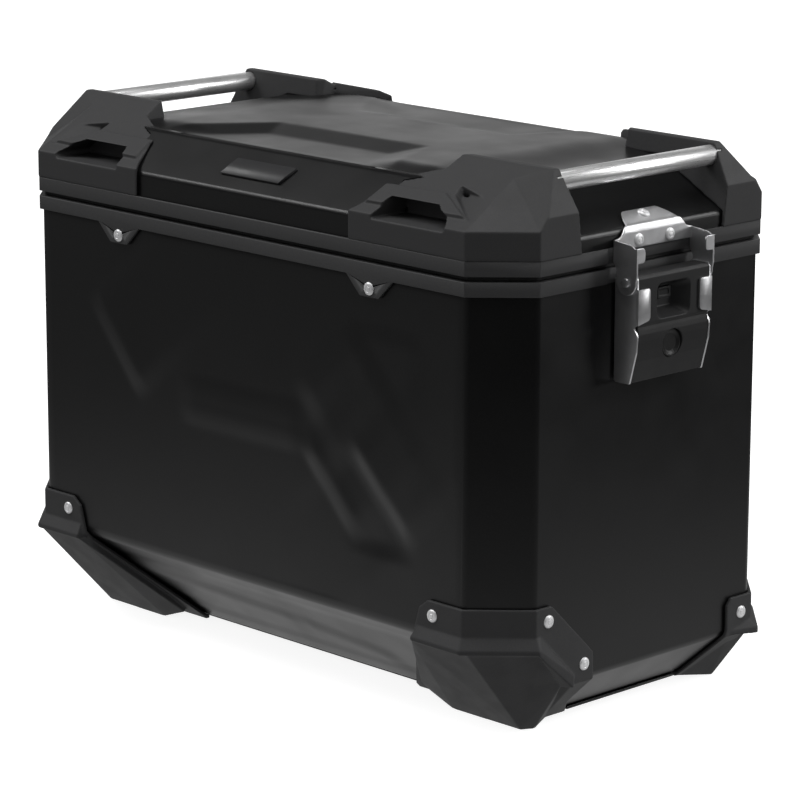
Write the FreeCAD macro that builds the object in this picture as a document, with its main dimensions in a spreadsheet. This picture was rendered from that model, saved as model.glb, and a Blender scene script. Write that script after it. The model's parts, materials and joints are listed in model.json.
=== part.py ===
"""Aluminium motorcycle case with a lift-off lid, moulded corners and two end latches.

Millimetres. +Z is up and the origin is on the ground, under the middle of the case.
X runs along the case, and its two latches are on the -X and +X ends. -Y is the outer
long side, which has the large lower bevel.
"""
import FreeCAD, Part
import math
import os
import Sketcher
from FreeCAD import Placement, Rotation, Vector

SIZES = {
    # plan outlines: an octagon has half lengths and the leg of its corner chamfer
    "case_half_x": 252.0, "case_half_y": 142.5, "case_corner": 33.5, "rim_proud": 2.6,
    "sheet": 1.5, "fit_gap": 0.2,
    # levels of the case
    "case_bottom": 8.5, "case_top": 317.6, "front_fold": 73.0, "small_fold": 40.0,
    "rim_low": 310.0, "rim_high": 320.0, "lid_rim_low": 323.6, "lid_rim_high": 333.8,
    # lid
    "lid_low": 326.0, "front_bead": 350.3, "end_bead": 344.3, "lid_top": 375.5,
    "lid_top_y": 109.0, "lid_top_x": 190.0, "lid_seat": 346.0,
    # handle tubes
    "tube_x": 235.5, "tube_z": 380.5, "tube_radius": 7.0, "tube_bore": 5.0, "tube_half": 82.0,
    # latch, described at the +X end
    "pin_x": 265.0, "pin_z": 311.6, "pin_radius": 3.0, "pin_half": 40.4, "pin_gap": 0.05,
    "latch_recess_y": 45.0, "latch_recess_x": 252.8,
    "arm_in": 37.4, "arm_out": 38.9, "lever_out": 36.8, "lever_sheet": 1.5,
    "lever_back": 253.6, "lever_front": 273.4, "lever_low": 242.5, "lever_high": 316.6,
    "hook_radius": 30.5, "hook_sheet": 2.0, "lock_z": 266.5, "lock_radius": 9.6,
    "button_stroke": 3.0,
    # fasteners
    "rivet_radius": 2.0, "rivet_head": 4.6, "rivet_rise": 1.5, "hole_gap": 0.1,
    "insert_x": 90.0, "insert_y_low": -35.0, "insert_y_high": 65.0, "insert_radius": 3.1,
}

doc = FreeCAD.newDocument("MotorcycleCase")
sheet = doc.addObject("Spreadsheet::Sheet", "Sizes")
for row, (alias, number) in enumerate(SIZES.items(), start=1):
    sheet.set(f"A{row}", alias)
    sheet.set(f"B{row}", str(number))
    sheet.setAlias(f"B{row}", alias)
doc.recompute()


class Size:
    """A number, with the spreadsheet expression that gives it."""

    def __init__(self, value, text=None):
        self.value = float(value)
        self.text = text if text is not None else f"({float(value):.6f})"

    @staticmethod
    def of(item):
        return item if isinstance(item, Size) else Size(item)

    def __add__(self, other):
        other = Size.of(other)
        return Size(self.value + other.value, f"({self.text} + {other.text})")

    def __sub__(self, other):
        other = Size.of(other)
        return Size(self.value - other.value, f"({self.text} - {other.text})")

    def __mul__(self, other):
        other = Size.of(other)
        return Size(self.value * other.value, f"({self.text} * {other.text})")

    def __rsub__(self, other):
        return Size.of(other) - self

    def __neg__(self):
        return Size.of(0) - self

    __radd__ = __add__
    __rmul__ = __mul__


S = {alias: Size(number, f"Sizes.{alias}") for alias, number in SIZES.items()}


def bind(item, prop, size):
    """Set one property of an object from the sheet."""
    item.setExpression(prop, Size.of(size).text)


def mirrored_x(points):
    return [(-1 * x, y) for x, y in points]


# ---------------------------------------------------------------- drawing helpers

PLANES = {"XY": "XY_Plane", "XZ": "XZ_Plane", "YZ": "YZ_Plane"}


def new_body(label):
    body = doc.addObject("PartDesign::Body", label)
    body.Label = label
    return body


def new_sketch(body, plane, level):
    """A sketch on one of the body's own planes, moved along that plane's normal."""
    sketch = body.newObject("Sketcher::SketchObject", f"{body.Name}_sketch")
    role = PLANES[plane]
    origin_plane = [f for f in body.Origin.OriginFeatures if f.Role == role][0]
    sketch.AttachmentSupport = [(origin_plane, "")]
    sketch.MapMode = "FlatFace"
    bind(sketch, "AttachmentOffset.Base.z", level)
    return sketch


def draw_loop(sketch, points):
    """A closed loop of straight edges whose corners are all bound to the sheet."""
    places = [(Size.of(x), Size.of(y)) for x, y in points]
    count = len(places)
    first = sketch.GeometryCount
    for i in range(count):
        (x0, y0), (x1, y1) = places[i], places[(i + 1) % count]
        start, end = Vector(x0.value, y0.value, 0), Vector(x1.value, y1.value, 0)
        sketch.addGeometry(Part.LineSegment(start, end), False)
    for i in range(count):
        following = first + (i + 1) % count
        sketch.addConstraint(Sketcher.Constraint("Coincident", first + i, 2, following, 1))
    for i, (x, y) in enumerate(places):
        for kind, size in (("DistanceX", x), ("DistanceY", y)):
            index = sketch.addConstraint(
                Sketcher.Constraint(kind, -1, 1, first + i, 1, size.value))
            sketch.setExpression(f"Constraints[{index}]", size.text)


def draw_circle(sketch, x, y, radius):
    x, y, radius = Size.of(x), Size.of(y), Size.of(radius)
    circle = Part.Circle(Vector(x.value, y.value, 0), Vector(0, 0, 1), radius.value)
    geometry = sketch.addGeometry(circle, False)
    for kind, size in (("DistanceX", x), ("DistanceY", y)):
        index = sketch.addConstraint(Sketcher.Constraint(kind, -1, 1, geometry, 3, size.value))
        sketch.setExpression(f"Constraints[{index}]", size.text)
    index = sketch.addConstraint(Sketcher.Constraint("Radius", geometry, radius.value))
    sketch.setExpression(f"Constraints[{index}]", radius.text)


def pad(body, plane, loops, low, high, circles=()):
    """Pad closed loops of one sketch between two levels along the plane's world axis."""
    low, high = Size.of(low), Size.of(high)
    level = -high if plane == "XZ" else low  # the XZ plane's normal points to -Y
    sketch = new_sketch(body, plane, level)
    for loop in loops:
        draw_loop(sketch, loop)
    for x, y, radius in circles:
        draw_circle(sketch, x, y, radius)
    feature = body.newObject("PartDesign::Pad", f"{body.Name}_pad")
    feature.Profile = sketch
    bind(feature, "Length", high - low)
    return feature


def pocket_through(body, plane, loops, circles=()):
    """Cut closed loops right through the body, both ways from the origin plane."""
    sketch = new_sketch(body, plane, 0)
    for loop in loops:
        draw_loop(sketch, loop)
    for x, y, radius in circles:
        draw_circle(sketch, x, y, radius)
    feature = body.newObject("PartDesign::Pocket", f"{body.Name}_pocket")
    feature.Profile = sketch
    feature.SideType = "Symmetric"
    feature.Type = "ThroughAll"
    return feature


def prism(label, plane, loop, low, high, circles=()):
    body = new_body(label)
    pad(body, plane, [loop] if loop else [], low, high, circles)
    return body


def octagon(half_x, half_y, corner):
    return [(-half_x, corner - half_y), (corner - half_x, -half_y),
            (half_x - corner, -half_y), (half_x, corner - half_y),
            (half_x, half_y - corner), (half_x - corner, half_y),
            (corner - half_x, half_y), (-half_x, half_y - corner)]


def case_octagon(proud):
    """The case's plan outline, moved outwards by an equal distance all round."""
    corner_growth = 2 - math.sqrt(2)
    return octagon(S["case_half_x"] + proud, S["case_half_y"] + proud,
                   S["case_corner"] + corner_growth * Size.of(proud))


def combine(kind, label, items):
    result = doc.addObject(kind, label)
    result.Label = label
    result.Shapes = items
    return result


def fuse(label, *items):
    return combine("Part::MultiFuse", label, list(items))


def common(label, *items):
    return combine("Part::MultiCommon", label, list(items))


def cut(label, base, tool):
    result = doc.addObject("Part::Cut", label)
    result.Label = label
    result.Base = base
    result.Tool = tool
    return result


def box(label, lows, highs):
    """A box between two corners, each side bound to the sheet."""
    result = doc.addObject("Part::Box", label)
    result.Label = label
    for axis, prop, low, high in zip("xyz", ("Length", "Width", "Height"), lows, highs):
        bind(result, prop, Size.of(high) - Size.of(low))
        bind(result, f"Placement.Base.{axis}", low)
    return result


def mirror(label, source, normal):
    result = doc.addObject("Part::Mirroring", label)
    result.Label = label
    result.Source = source
    result.Normal = Vector(*normal)
    return result


def stored(label, shape):
    """A shape that no feature makes, such as a group of the same fastener."""
    result = doc.addObject("Part::Feature", label)
    result.Label = label
    result.Shape = shape
    return result


def polyhedron(corners, faces):
    """A solid with flat faces, each a list of corner names in order around the face."""
    flat = []
    for names in faces:
        places = [Vector(*corners[name]) for name in names]
        flat.append(Part.Face(Part.makePolygon(places + places[:1])))
    return Part.Solid(Part.makeShell(flat).removeSplitter())


def turned(shape, normal):
    """A copy of a shape made along +Z, turned so that +Z points along the normal."""
    copy = shape.copy()
    copy.Placement = Placement(Vector(), Rotation(Vector(0, 0, 1), Vector(*normal)))
    return copy


def at_places(shape, places):
    """The same solid at each (point, outward normal)."""
    copies = []
    for point, normal in places:
        copy = turned(shape, normal)
        copy.translate(Vector(*point))
        copies.append(copy)
    return Part.makeCompound(copies)


# ---------------------------------------------------------------- fasteners

V = {alias: number for alias, number in SIZES.items()}
SQRT2 = math.sqrt(2)


def rivet(grip, head=V["rivet_head"], rise=V["rivet_rise"], shank=V["rivet_radius"]):
    """A domed blind rivet whose head rests on z = 0 and whose shank hangs below."""
    sphere_radius = (head ** 2 + rise ** 2) / (2 * rise)
    ball = Part.makeSphere(sphere_radius, Vector(0, 0, rise - sphere_radius))
    head_solid = ball.common(Part.makeCylinder(head, rise, Vector(0, 0, 0)))
    tail_thickness = 1.2
    tail_low = Vector(0, 0, -grip - tail_thickness)
    tail = Part.makeCylinder(shank + 1.2, tail_thickness, tail_low)
    shank_solid = Part.makeCylinder(shank, grip + tail_thickness, tail_low)
    return head_solid.fuse([shank_solid, tail]).removeSplitter()


def drill(radius, depth=14.0, above=6.0):
    return Part.makeCylinder(radius, depth + above, Vector(0, 0, -depth))


RIVET_HOLE = V["rivet_radius"] + V["hole_gap"]
FLANGE = 3.0
FRONT_FLANGE_Y = -(V["case_half_y"] + FLANGE)
END_FLANGE_X = V["case_half_x"] + FLANGE
RIM_Y = V["case_half_y"] + V["rim_proud"]
rim_rivet_places = [((x, side * RIM_Y, 302.5), (0, side, 0))
                    for x in (-130, 130) for side in (-1, 1)]
foot_rivet_places = []
for side in (-1, 1):
    foot_rivet_places += [
        ((side * 192, FRONT_FLANGE_Y, 88), (0, -1, 0)),
        ((side * END_FLANGE_X, -98.5, 88), (side, 0, 0)),
        ((side * END_FLANGE_X, -63, 51), (side, 0, 0)),
        ((side * END_FLANGE_X, 99, 54), (side, 0, 0)),
        ((side * 205, -FRONT_FLANGE_Y, 58.5), (0, 1, 0)),
    ]
drills = at_places(drill(RIVET_HOLE), rim_rivet_places + foot_rivet_places)

BRACKET_FACE_X = 254.7
STRIKER_FACE_X = 253.2
bracket_rivet_places = [((BRACKET_FACE_X, y, 336.2), (1, 0, 0)) for y in (-15.4, 15.4)]
end_slope = math.atan2(V["lid_top"] - V["end_bead"], V["case_half_x"] - V["lid_top_x"])
SLOPE_NORMAL = (math.sin(end_slope), 0, math.cos(end_slope))
SLOPE_PLATE_LIFT = 2.7
slope_rivet_x = 243.5
slope_rivet_z = V["end_bead"] + math.tan(end_slope) * (V["case_half_x"] - slope_rivet_x)
bracket_rivet_places.append((
    (slope_rivet_x + SLOPE_PLATE_LIFT * SLOPE_NORMAL[0], 0,
     slope_rivet_z + SLOPE_PLATE_LIFT * SLOPE_NORMAL[2]), SLOPE_NORMAL))
striker_rivet_places = [((STRIKER_FACE_X - 1.3, y, z), (1, 0, 0))
                        for y in (-19, 19) for z in (268, 295)]


def both_ends(places):
    """Places at the +X end, and their mirror images at the -X end."""
    other = [((-p[0], p[1], p[2]), (-n[0], n[1], n[2])) for p, n in places]
    return places + other


insert_places = [((x, y, 6.3), (0, 0, -1)) for x in (-V["insert_x"], V["insert_x"])
                 for y in (V["insert_y_low"], V["insert_y_high"])]
CAP_SCREW_PLACES = [((sx * x, sy * y, V["lid_seat"] - V["sheet"] - 0.05), (0, 0, -1))
                    for sx in (-1, 1) for sy in (-1, 1) for x, y in ((170, 105.5), (228, 104))]
INSERT_SHANK = 4.5


# ---------------------------------------------------------------- case

CORNER_PLANES = (  # outward normal at the +X end, and distance from the origin
    ((0.554, -0.531, -0.641), 153.9), ((0.535, 0.535, -0.654), 163.8))
CORNER_SHARE = 0.6  # how much of an offset the corner planes take


def corner_wedges(label, proud):
    """Blocks that cut the four lower corners of the case to sloping facets."""
    blocks = []
    for normal, distance in CORNER_PLANES:
        for side in (-1, 1):
            outward = Vector(side * normal[0], normal[1], normal[2])
            outward.normalize()
            block = Part.makeBox(200, 200, 60, Vector(-100, -100, 0))
            block = turned(block, outward)
            block.translate(outward * (distance + CORNER_SHARE * proud.value))
            blocks.append(block)
    return stored(label, Part.makeCompound(blocks))


def case_envelope(label, proud, top):
    """The outside of the case, moved outwards: an octagon with its lower edges bevelled."""
    proud = Size.of(proud)
    body = new_body(f"{label}_sides")
    pad(body, "XY", [case_octagon(proud)], S["case_bottom"] - proud, top)
    shift = proud * SQRT2  # how far a 45 degree bevel moves along Z
    reach = 60.0           # a corner of the cutter, well outside the case
    low = S["case_bottom"] - reach
    side = S["case_half_y"]
    end = S["case_half_x"]
    front = [(-side - reach, S["front_fold"] + reach - shift),
             (-side - reach, low),
             (-side + S["front_fold"] - shift - low, low)]
    back = [(side + reach, S["small_fold"] + reach - shift),
            (side - S["small_fold"] + shift + low, low),
            (side + reach, low)]
    right = [(end + reach, S["small_fold"] + reach - shift),
             (end - S["small_fold"] + shift + low, low),
             (end + reach, low)]
    pocket_through(body, "YZ", [front, back])
    pocket_through(body, "XZ", [right, mirrored_x(right)])
    return cut(label, body, corner_wedges(f"{label}_corners", proud))


case_outside = case_envelope("case_outside", 0, S["case_top"])
case_inside = case_envelope("case_inside", -S["sheet"], S["case_top"] + 5)
hollow_case = cut("hollow_case", case_outside, case_inside)
striker_drills = at_places(drill(RIVET_HOLE, 6), both_ends(striker_rivet_places))
bottom_drills = at_places(drill(INSERT_SHANK + 0.1, 20), insert_places)
case_drills = stored("case_drills", Part.makeCompound([drills, striker_drills, bottom_drills]))
body_shell = cut("body_shell", hollow_case, case_drills)

plate_low = S["case_bottom"] - 2.2
plate_half = [(136, -74), (136, -44), (222, -44), (222, 66), (146, 66), (146, 104)]
plate_outline = plate_half + [(-x, y) for x, y in reversed(plate_half)]
plate_blank = prism("plate_blank", "XY", plate_outline, plate_low, S["case_bottom"] - 0.1)
plate_drills = stored("plate_drills", bottom_drills)
bottom_plate = cut("bottom_plate", plate_blank, plate_drills)

insert_flange = 7.0
insert_solid = Part.makeCylinder(INSERT_SHANK, 12, Vector(0, 0, -12)).fuse(
    Part.makeCylinder(insert_flange, 1.5)).cut(
    Part.makeCylinder(V["insert_radius"], 20, Vector(0, 0, -15)))
bottom_inserts = stored("bottom_inserts", at_places(insert_solid.removeSplitter(), insert_places))


# ---------------------------------------------------------------- rims and seal

def latch_notches(label, low, high):
    """Blocks that cut the rim back behind each latch."""
    right = box(f"{label}_right", (S["latch_recess_x"], -S["latch_recess_y"], low),
                (S["latch_recess_x"] + 10, S["latch_recess_y"], high))
    left = box(f"{label}_left", (-S["latch_recess_x"] - 10, -S["latch_recess_y"], low),
               (-S["latch_recess_x"], S["latch_recess_y"], high))
    return fuse(label, right, left)


def ring(label, proud_out, proud_in, low, high):
    body = new_body(label)
    pad(body, "XY", [case_octagon(proud_out), case_octagon(proud_in)], low, high)
    return body


skirt = ring("rim_skirt", S["rim_proud"], S["fit_gap"], S["rim_low"], S["rim_high"])
web = ring("rim_web", S["fit_gap"], -S["sheet"] * 4, S["case_top"] + S["fit_gap"], S["rim_high"])
inner_leg = ring("rim_inner_leg", -S["sheet"] - S["fit_gap"], -S["sheet"] * 3,
                 S["rim_low"], S["rim_high"])
TAB_TOP, TAB_BOTTOM, TAB_LOW = 23, 9, 296.8
tab_loops = [[(x - TAB_TOP, S["rim_low"] + 1), (x - TAB_BOTTOM, TAB_LOW),
              (x + TAB_BOTTOM, TAB_LOW), (x + TAB_TOP, S["rim_low"] + 1)] for x in (-130, 130)]
tabs = []
for side, name in ((-1, "front"), (1, "back")):
    near, far = S["case_half_y"] + S["fit_gap"], S["case_half_y"] + S["rim_proud"]
    tab_body = new_body(f"rim_tabs_{name}")
    pad(tab_body, "XZ", tab_loops, *((-far, -near) if side < 0 else (near, far)))
    tabs.append(tab_body)
whole_rim = fuse("whole_rim", skirt, web, inner_leg, *tabs)
rim_notched = cut("rim_notched", whole_rim, latch_notches("rim_notches", 290, 322))
rim_drills = stored("rim_drills", drills)
body_rim = cut("body_rim", rim_notched, rim_drills)
rim_rivets = stored("rim_rivets", at_places(rivet(V["rim_proud"] + V["sheet"]), rim_rivet_places))

lid_skirt = ring("lid_skirt", S["rim_proud"], S["fit_gap"], S["lid_rim_low"], S["lid_rim_high"])
lid_ledge = ring("lid_ledge", S["fit_gap"], -S["sheet"] * 5, S["lid_rim_low"], S["lid_low"] - 0.1)
lid_ring = fuse("lid_ring", lid_skirt, lid_ledge)
lid_ring_notched = cut("lid_ring_notched", lid_ring, latch_notches("lid_notches", 322, 336))
seal_groove = ring("seal_groove", -S["sheet"], -S["sheet"] * 3,
                   S["lid_rim_low"] - 1, S["lid_rim_low"] + 1.3)
lid_rim = cut("lid_rim", lid_ring_notched, seal_groove)
SEAL_GAP = 0.15
lid_seal = ring("lid_seal", -S["sheet"] - SEAL_GAP, -S["sheet"] * 3 + SEAL_GAP,
                S["rim_high"] + 0.4, S["lid_rim_low"] + 1.25)


# ---------------------------------------------------------------- lid shell

def slope_cutter(half, bead, top_half, top, reach=40.0):
    """The triangle above a sloping side, in a plane across that side, at its plus end."""
    rise = (top.value - bead.value) / (half.value - top_half.value)
    return [(half + reach, bead - reach * rise), (half + reach, top + reach * rise),
            (top_half - reach, top + reach * rise)]


def seat_outline(sign_x, sign_y):
    """Plan of the flat seat that each moulded corner sits on."""
    points = [(130, 113), (160, 100.5), (300, 100.5), (300, 200), (130, 200)]
    return [(sign_x * x, sign_y * y) for x, y in points]


def lid_envelope(label, proud, low):
    """The outside of the lid, moved outwards, with its four seats cut down."""
    proud = Size.of(proud)
    body = new_body(label)
    pad(body, "XY", [case_octagon(proud)], low, S["lid_top"] + proud)
    front = slope_cutter(S["case_half_y"] + proud, S["front_bead"] + 0.35 * proud,
                         S["lid_top_y"] + 0.35 * proud, S["lid_top"] + proud)
    end = slope_cutter(S["case_half_x"] + proud, S["end_bead"] + 0.65 * proud,
                       S["lid_top_x"] + 0.25 * proud, S["lid_top"] + proud)
    pocket_through(body, "YZ", [front, mirrored_x(front)])
    pocket_through(body, "XZ", [end, mirrored_x(end)])
    seats = new_sketch(body, "XY", S["lid_seat"] + proud)
    for sign_x in (-1, 1):
        for sign_y in (-1, 1):
            draw_loop(seats, seat_outline(sign_x, sign_y))
    lower = body.newObject("PartDesign::Pocket", f"{label}_seats")
    lower.Profile = seats
    lower.Reversed = True
    lower.Type = "ThroughAll"
    return body


lid_outside = lid_envelope("lid_outside", 0, S["lid_low"])
lid_inside = lid_envelope("lid_inside", -S["sheet"], S["lid_low"] - 5)
hollow_lid = cut("hollow_lid", lid_outside, lid_inside)
SCREW_SHANK = 2.5
lid_drills = stored("lid_drills", Part.makeCompound([
    at_places(drill(RIVET_HOLE, 8), both_ends(bracket_rivet_places)),
    at_places(drill(SCREW_SHANK + 0.2, 10), CAP_SCREW_PLACES)]))
lid_shell = cut("lid_shell", hollow_lid, lid_drills)

# ---------------------------------------------------------------- moulded lid corners

CAP_LOW, CAP_BAND, CAP_RIDGE, CAP_SHOULDER = V["lid_rim_high"] + 0.2, 353.5, 389.8, 362.0
CAP_X, CAP_Y = V["case_half_x"] + V["rim_proud"] + 0.2, V["case_half_y"] + V["rim_proud"] + 0.2
CAP_CORNER = V["case_corner"] + 1.3
RIDGE_Y, RIDGE_BACK_Y, CAP_FACE_Y = 83.0, 77.0, 70.5
FRONT_RISE = (CAP_RIDGE - CAP_BAND) / (CAP_Y - RIDGE_Y)


def cap_corners():
    """Corners of one moulded cap at the +X -Y corner, by name."""
    def on_front(x, y):
        """A point of the cap's sloping front face."""
        return (x, -y, CAP_BAND + FRONT_RISE * (CAP_Y - y))

    lean = (RIDGE_BACK_Y - CAP_FACE_Y) / (CAP_RIDGE - CAP_LOW)
    shoulder_y = CAP_FACE_Y + lean * (CAP_SHOULDER - CAP_LOW)
    top = {
        "a": (109, -CAP_Y, CAP_BAND), "b": (CAP_X - CAP_CORNER, -CAP_Y, CAP_BAND),
        "c": (CAP_X, CAP_CORNER - CAP_Y, CAP_BAND), "e": (CAP_X, -103.5, CAP_SHOULDER),
        "d": (CAP_X, -shoulder_y, CAP_SHOULDER), "p": on_front(211, 94.5),
        "r1": (239, -RIDGE_Y, CAP_RIDGE), "r0": (156, -RIDGE_Y, CAP_RIDGE),
        "s1": (239, -RIDGE_BACK_Y, CAP_RIDGE), "s0": (160, -RIDGE_BACK_Y, CAP_RIDGE),
        "w0": on_front(114.5, 137.6), "w1": on_front(125, 110), "w2": on_front(154, 96.4),
    }
    low = {f"{name}_low": (top[name][0], top[name][1], CAP_LOW)
           for name in ("a", "b", "c", "w0", "w1", "w2")}
    low["d_low"] = (CAP_X, -CAP_FACE_Y, CAP_LOW)
    low["s_low"] = (154, -CAP_FACE_Y, CAP_LOW)
    return {**top, **low}


CAP_FACES = [
    ("a", "b", "p", "r1", "r0", "w2", "w1", "w0"), ("b", "c", "p"), ("c", "e", "p"), ("e", "r1", "p"),
    ("e", "d", "s1", "r1"), ("r0", "r1", "s1", "s0"), ("c_low", "d_low", "d", "e", "c"),
    ("b_low", "c_low", "c", "b"), ("a_low", "b_low", "b", "a"),
    ("d_low", "s_low", "s0", "s1", "d"), ("s_low", "w2_low", "w2"), ("s_low", "w2", "r0"),
    ("s_low", "r0", "s0"), ("w2_low", "w1_low", "w1", "w2"), ("w1_low", "w0_low", "w0", "w1"),
    ("w0_low", "a_low", "a", "w0"),
    ("a_low", "w0_low", "w1_low", "w2_low", "s_low", "d_low", "c_low", "b_low"),
]
CAP_FRAME = ((118, 137), (121, 119), (177, 118), (211, 135.5))  # x and distance from the middle
FRAME_PROUD, FRAME_ROOT = 1.6, 3.0


def cap_frame():
    """The raised frame round the mouth of the lashing slot."""
    outward = Vector(0, -FRONT_RISE, 1)
    outward.normalize()
    corners = [Vector(x, -y, CAP_BAND + FRONT_RISE * (CAP_Y - y)) - outward * FRAME_ROOT
               for x, y in CAP_FRAME]
    face = Part.Face(Part.makePolygon(corners + corners[:1]))
    return face.extrude(outward * (FRAME_ROOT + FRAME_PROUD))


cap_blank = fuse("cap_blank", stored("cap_block", polyhedron(cap_corners(), CAP_FACES)),
                 stored("cap_frame", cap_frame()))
lid_clear = lid_envelope("lid_clear", 0.25, S["lid_low"] - 5)
slot_mouth = box("slot_mouth", (135, -150, 350), (197, -116, 362.5))
slot_exit = prism("slot_exit", "YZ", [(-136, 350), (-114, 350), (-106, 392), (-128, 392)], 186, 210)
tube_socket = doc.addObject("Part::Cylinder", "tube_socket")
bind(tube_socket, "Radius", S["tube_radius"] + 0.1)
bind(tube_socket, "Height", S["tube_half"] * 2 + 0.6)
tube_socket.Placement = Placement(
    Vector(V["tube_x"], V["tube_half"] + 0.3, V["tube_z"]), Rotation(Vector(1, 0, 0), 90))
cap_screw_holes = stored("cap_screw_holes", at_places(drill(SCREW_SHANK + 0.1, 10), CAP_SCREW_PLACES))
cap_tools = fuse("cap_tools", lid_clear, slot_mouth, slot_exit, tube_socket, cap_screw_holes)
cap_front_right = cut("cap_front_right", cap_blank, cap_tools)
cap_front_left = mirror("cap_front_left", cap_front_right, (1, 0, 0))
cap_back_right = mirror("cap_back_right", cap_front_right, (0, 1, 0))
cap_back_left = mirror("cap_back_left", cap_back_right, (1, 0, 0))

tube_blank = doc.addObject("Part::Cylinder", "tube_blank")
bind(tube_blank, "Radius", S["tube_radius"])
bind(tube_blank, "Height", S["tube_half"] * 2)
tube_hollow = doc.addObject("Part::Cylinder", "tube_hollow")
bind(tube_hollow, "Radius", S["tube_bore"])
bind(tube_hollow, "Height", S["tube_half"] * 2)
for cylinder in (tube_blank, tube_hollow):
    cylinder.Placement = Placement(
        Vector(V["tube_x"], V["tube_half"], V["tube_z"]), Rotation(Vector(1, 0, 0), 90))
handle_tube_right = cut("handle_tube_right", tube_blank, tube_hollow)
handle_tube_left = mirror("handle_tube_left", handle_tube_right, (1, 0, 0))

screw_head = Part.makeCylinder(4.2, 2.6).cut(Part.makeCylinder(1.6, 2.0, Vector(0, 0, 1.0)))
screw_solid = screw_head.fuse(Part.makeCylinder(SCREW_SHANK, 9, Vector(0, 0, -9)))
cap_screws = stored("cap_screws", at_places(screw_solid.removeSplitter(), CAP_SCREW_PLACES))

badge_slope = math.degrees(math.atan2(V["lid_top"] - V["front_bead"], V["case_half_y"] - V["lid_top_y"]))
BADGE_LEAN = 5.0
badge_body = new_body("lid_badge")
pad(badge_body, "XY", [[(-30 - BADGE_LEAN / 2, -8), (30 - BADGE_LEAN / 2, -8),
                        (30 + BADGE_LEAN / 2, 8), (-30 + BADGE_LEAN / 2, 8)]], 0.1, 2.0)
badge_y = -126.0
badge_z = V["front_bead"] + (V["case_half_y"] + badge_y) * math.tan(math.radians(badge_slope))
badge_body.Placement = Placement(Vector(0, badge_y, badge_z), Rotation(Vector(1, 0, 0), badge_slope))


# ---------------------------------------------------------------- feet

def foot(label, flange_regions, block_regions, shoulder_high, shoulder_low):
    """One corner foot: a thin flange on the case and a thicker block with a shoulder."""
    flange = common(f"{label}_flange", flange_skin, fuse(f"{label}_flange_zone", *flange_regions))
    lower = box(f"{label}_lower", (-300, -200, -5), (300, 200, shoulder_low))
    shoulder_body = new_body(f"{label}_shoulder")
    for proud, level in ((block_proud, shoulder_low), (flange_proud, shoulder_high)):
        draw_loop(new_sketch(shoulder_body, "XY", level), case_octagon(proud))
    sketches = [o for o in shoulder_body.Group if o.isDerivedFrom("Sketcher::SketchObject")]
    loft = shoulder_body.newObject("PartDesign::AdditiveLoft", f"{label}_loft")
    loft.Profile = sketches[0]
    loft.Sections = [sketches[1]]
    loft.Ruled = True
    outer = fuse(f"{label}_outer", common(f"{label}_low_block", block_skin, lower), shoulder_body)
    zone = common(f"{label}_block_zone", *block_regions)
    block = common(f"{label}_block", outer, zone)
    solid = fuse(f"{label}_solid", flange, block)
    return cut(label, cut(f"{label}_hollow", solid, case_clear), foot_drills)


flange_proud, block_proud = Size(FLANGE), Size(8.5)
case_clear = case_envelope("case_clear", 0.15, 200)
flange_skin = case_envelope("flange_skin", flange_proud, 120)
block_skin = case_envelope("block_skin", block_proud, 120)
foot_drills = stored("foot_drills", drills)

front_flange_corner = prism("front_flange_corner", "XZ", [
    (187, 98), (262, 98), (262, -5), (200, -5), (187, 30)], -152, -109)
front_flange_front = prism("front_flange_front", "XZ", [
    (187, 98), (219, 98), (219, -5), (113, -5), (113, 9), (172, 68), (179, 92)], -152, -76)
front_flange_end = prism("front_flange_end", "YZ", [
    (-150, 98), (-95, 98), (-54, 58), (-53.5, 40), (-56, 18), (-48, 5), (-48, -5), (-150, -5)], 205, 262)
front_block_front = prism("front_block_front", "XZ", [
    (176, 80), (270, 80), (270, -5), (152, -5), (138, 12), (174, 62)], -160, -42)
front_block_end = prism("front_block_end", "YZ", [
    (-160, 80), (-107, 80), (-76, 48), (-79, 36), (-66, 6), (-66, -5), (-160, -5)], 130, 270)
foot_front_right = foot("foot_front_right", [front_flange_corner, front_flange_front, front_flange_end],
                        [front_block_front, front_block_end], 79, 71)

back_flange_back = prism("back_flange_back", "XZ", [
    (196, 66), (262, 66), (262, -5), (150, -5), (150, 9), (186, 44), (190, 62)], 105, 152)
back_flange_end = prism("back_flange_end", "YZ", [
    (150, 66), (94, 66), (89, 62), (89, 40), (72, 11), (72, -5), (150, -5)], 205, 262)
back_block_back = prism("back_block_back", "XZ", [
    (200, 54), (270, 54), (270, -5), (175, -5), (200, 20)], 72, 160)
back_block_end = prism("back_block_end", "YZ", [
    (160, 54), (111, 54), (90, 42), (88, 38), (76, 12), (76, -5), (160, -5)], 150, 270)
foot_back_right = foot("foot_back_right", [back_flange_back, back_flange_end],
                       [back_block_back, back_block_end], 52, 45)
foot_front_left = mirror("foot_front_left", foot_front_right, (1, 0, 0))
foot_back_left = mirror("foot_back_left", foot_back_right, (1, 0, 0))
foot_rivets = stored("foot_rivets", at_places(rivet(FLANGE + V["sheet"]), foot_rivet_places))


# ---------------------------------------------------------------- latch, made at the +X end

def from_pin(x, z):
    """A point of the X-Z plane, given from the latch pin's axis."""
    return (S["pin_x"] + x, S["pin_z"] + z)


def round_about_pin(label, radius, low, high):
    return prism(label, "XZ", None, low, high, [(S["pin_x"], S["pin_z"], radius)])


pin_bore = round_about_pin("pin_bore", S["pin_radius"] + S["pin_gap"], -60, 60)
latch_pin_right = round_about_pin("latch_pin_right", S["pin_radius"], -S["pin_half"], S["pin_half"])


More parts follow.
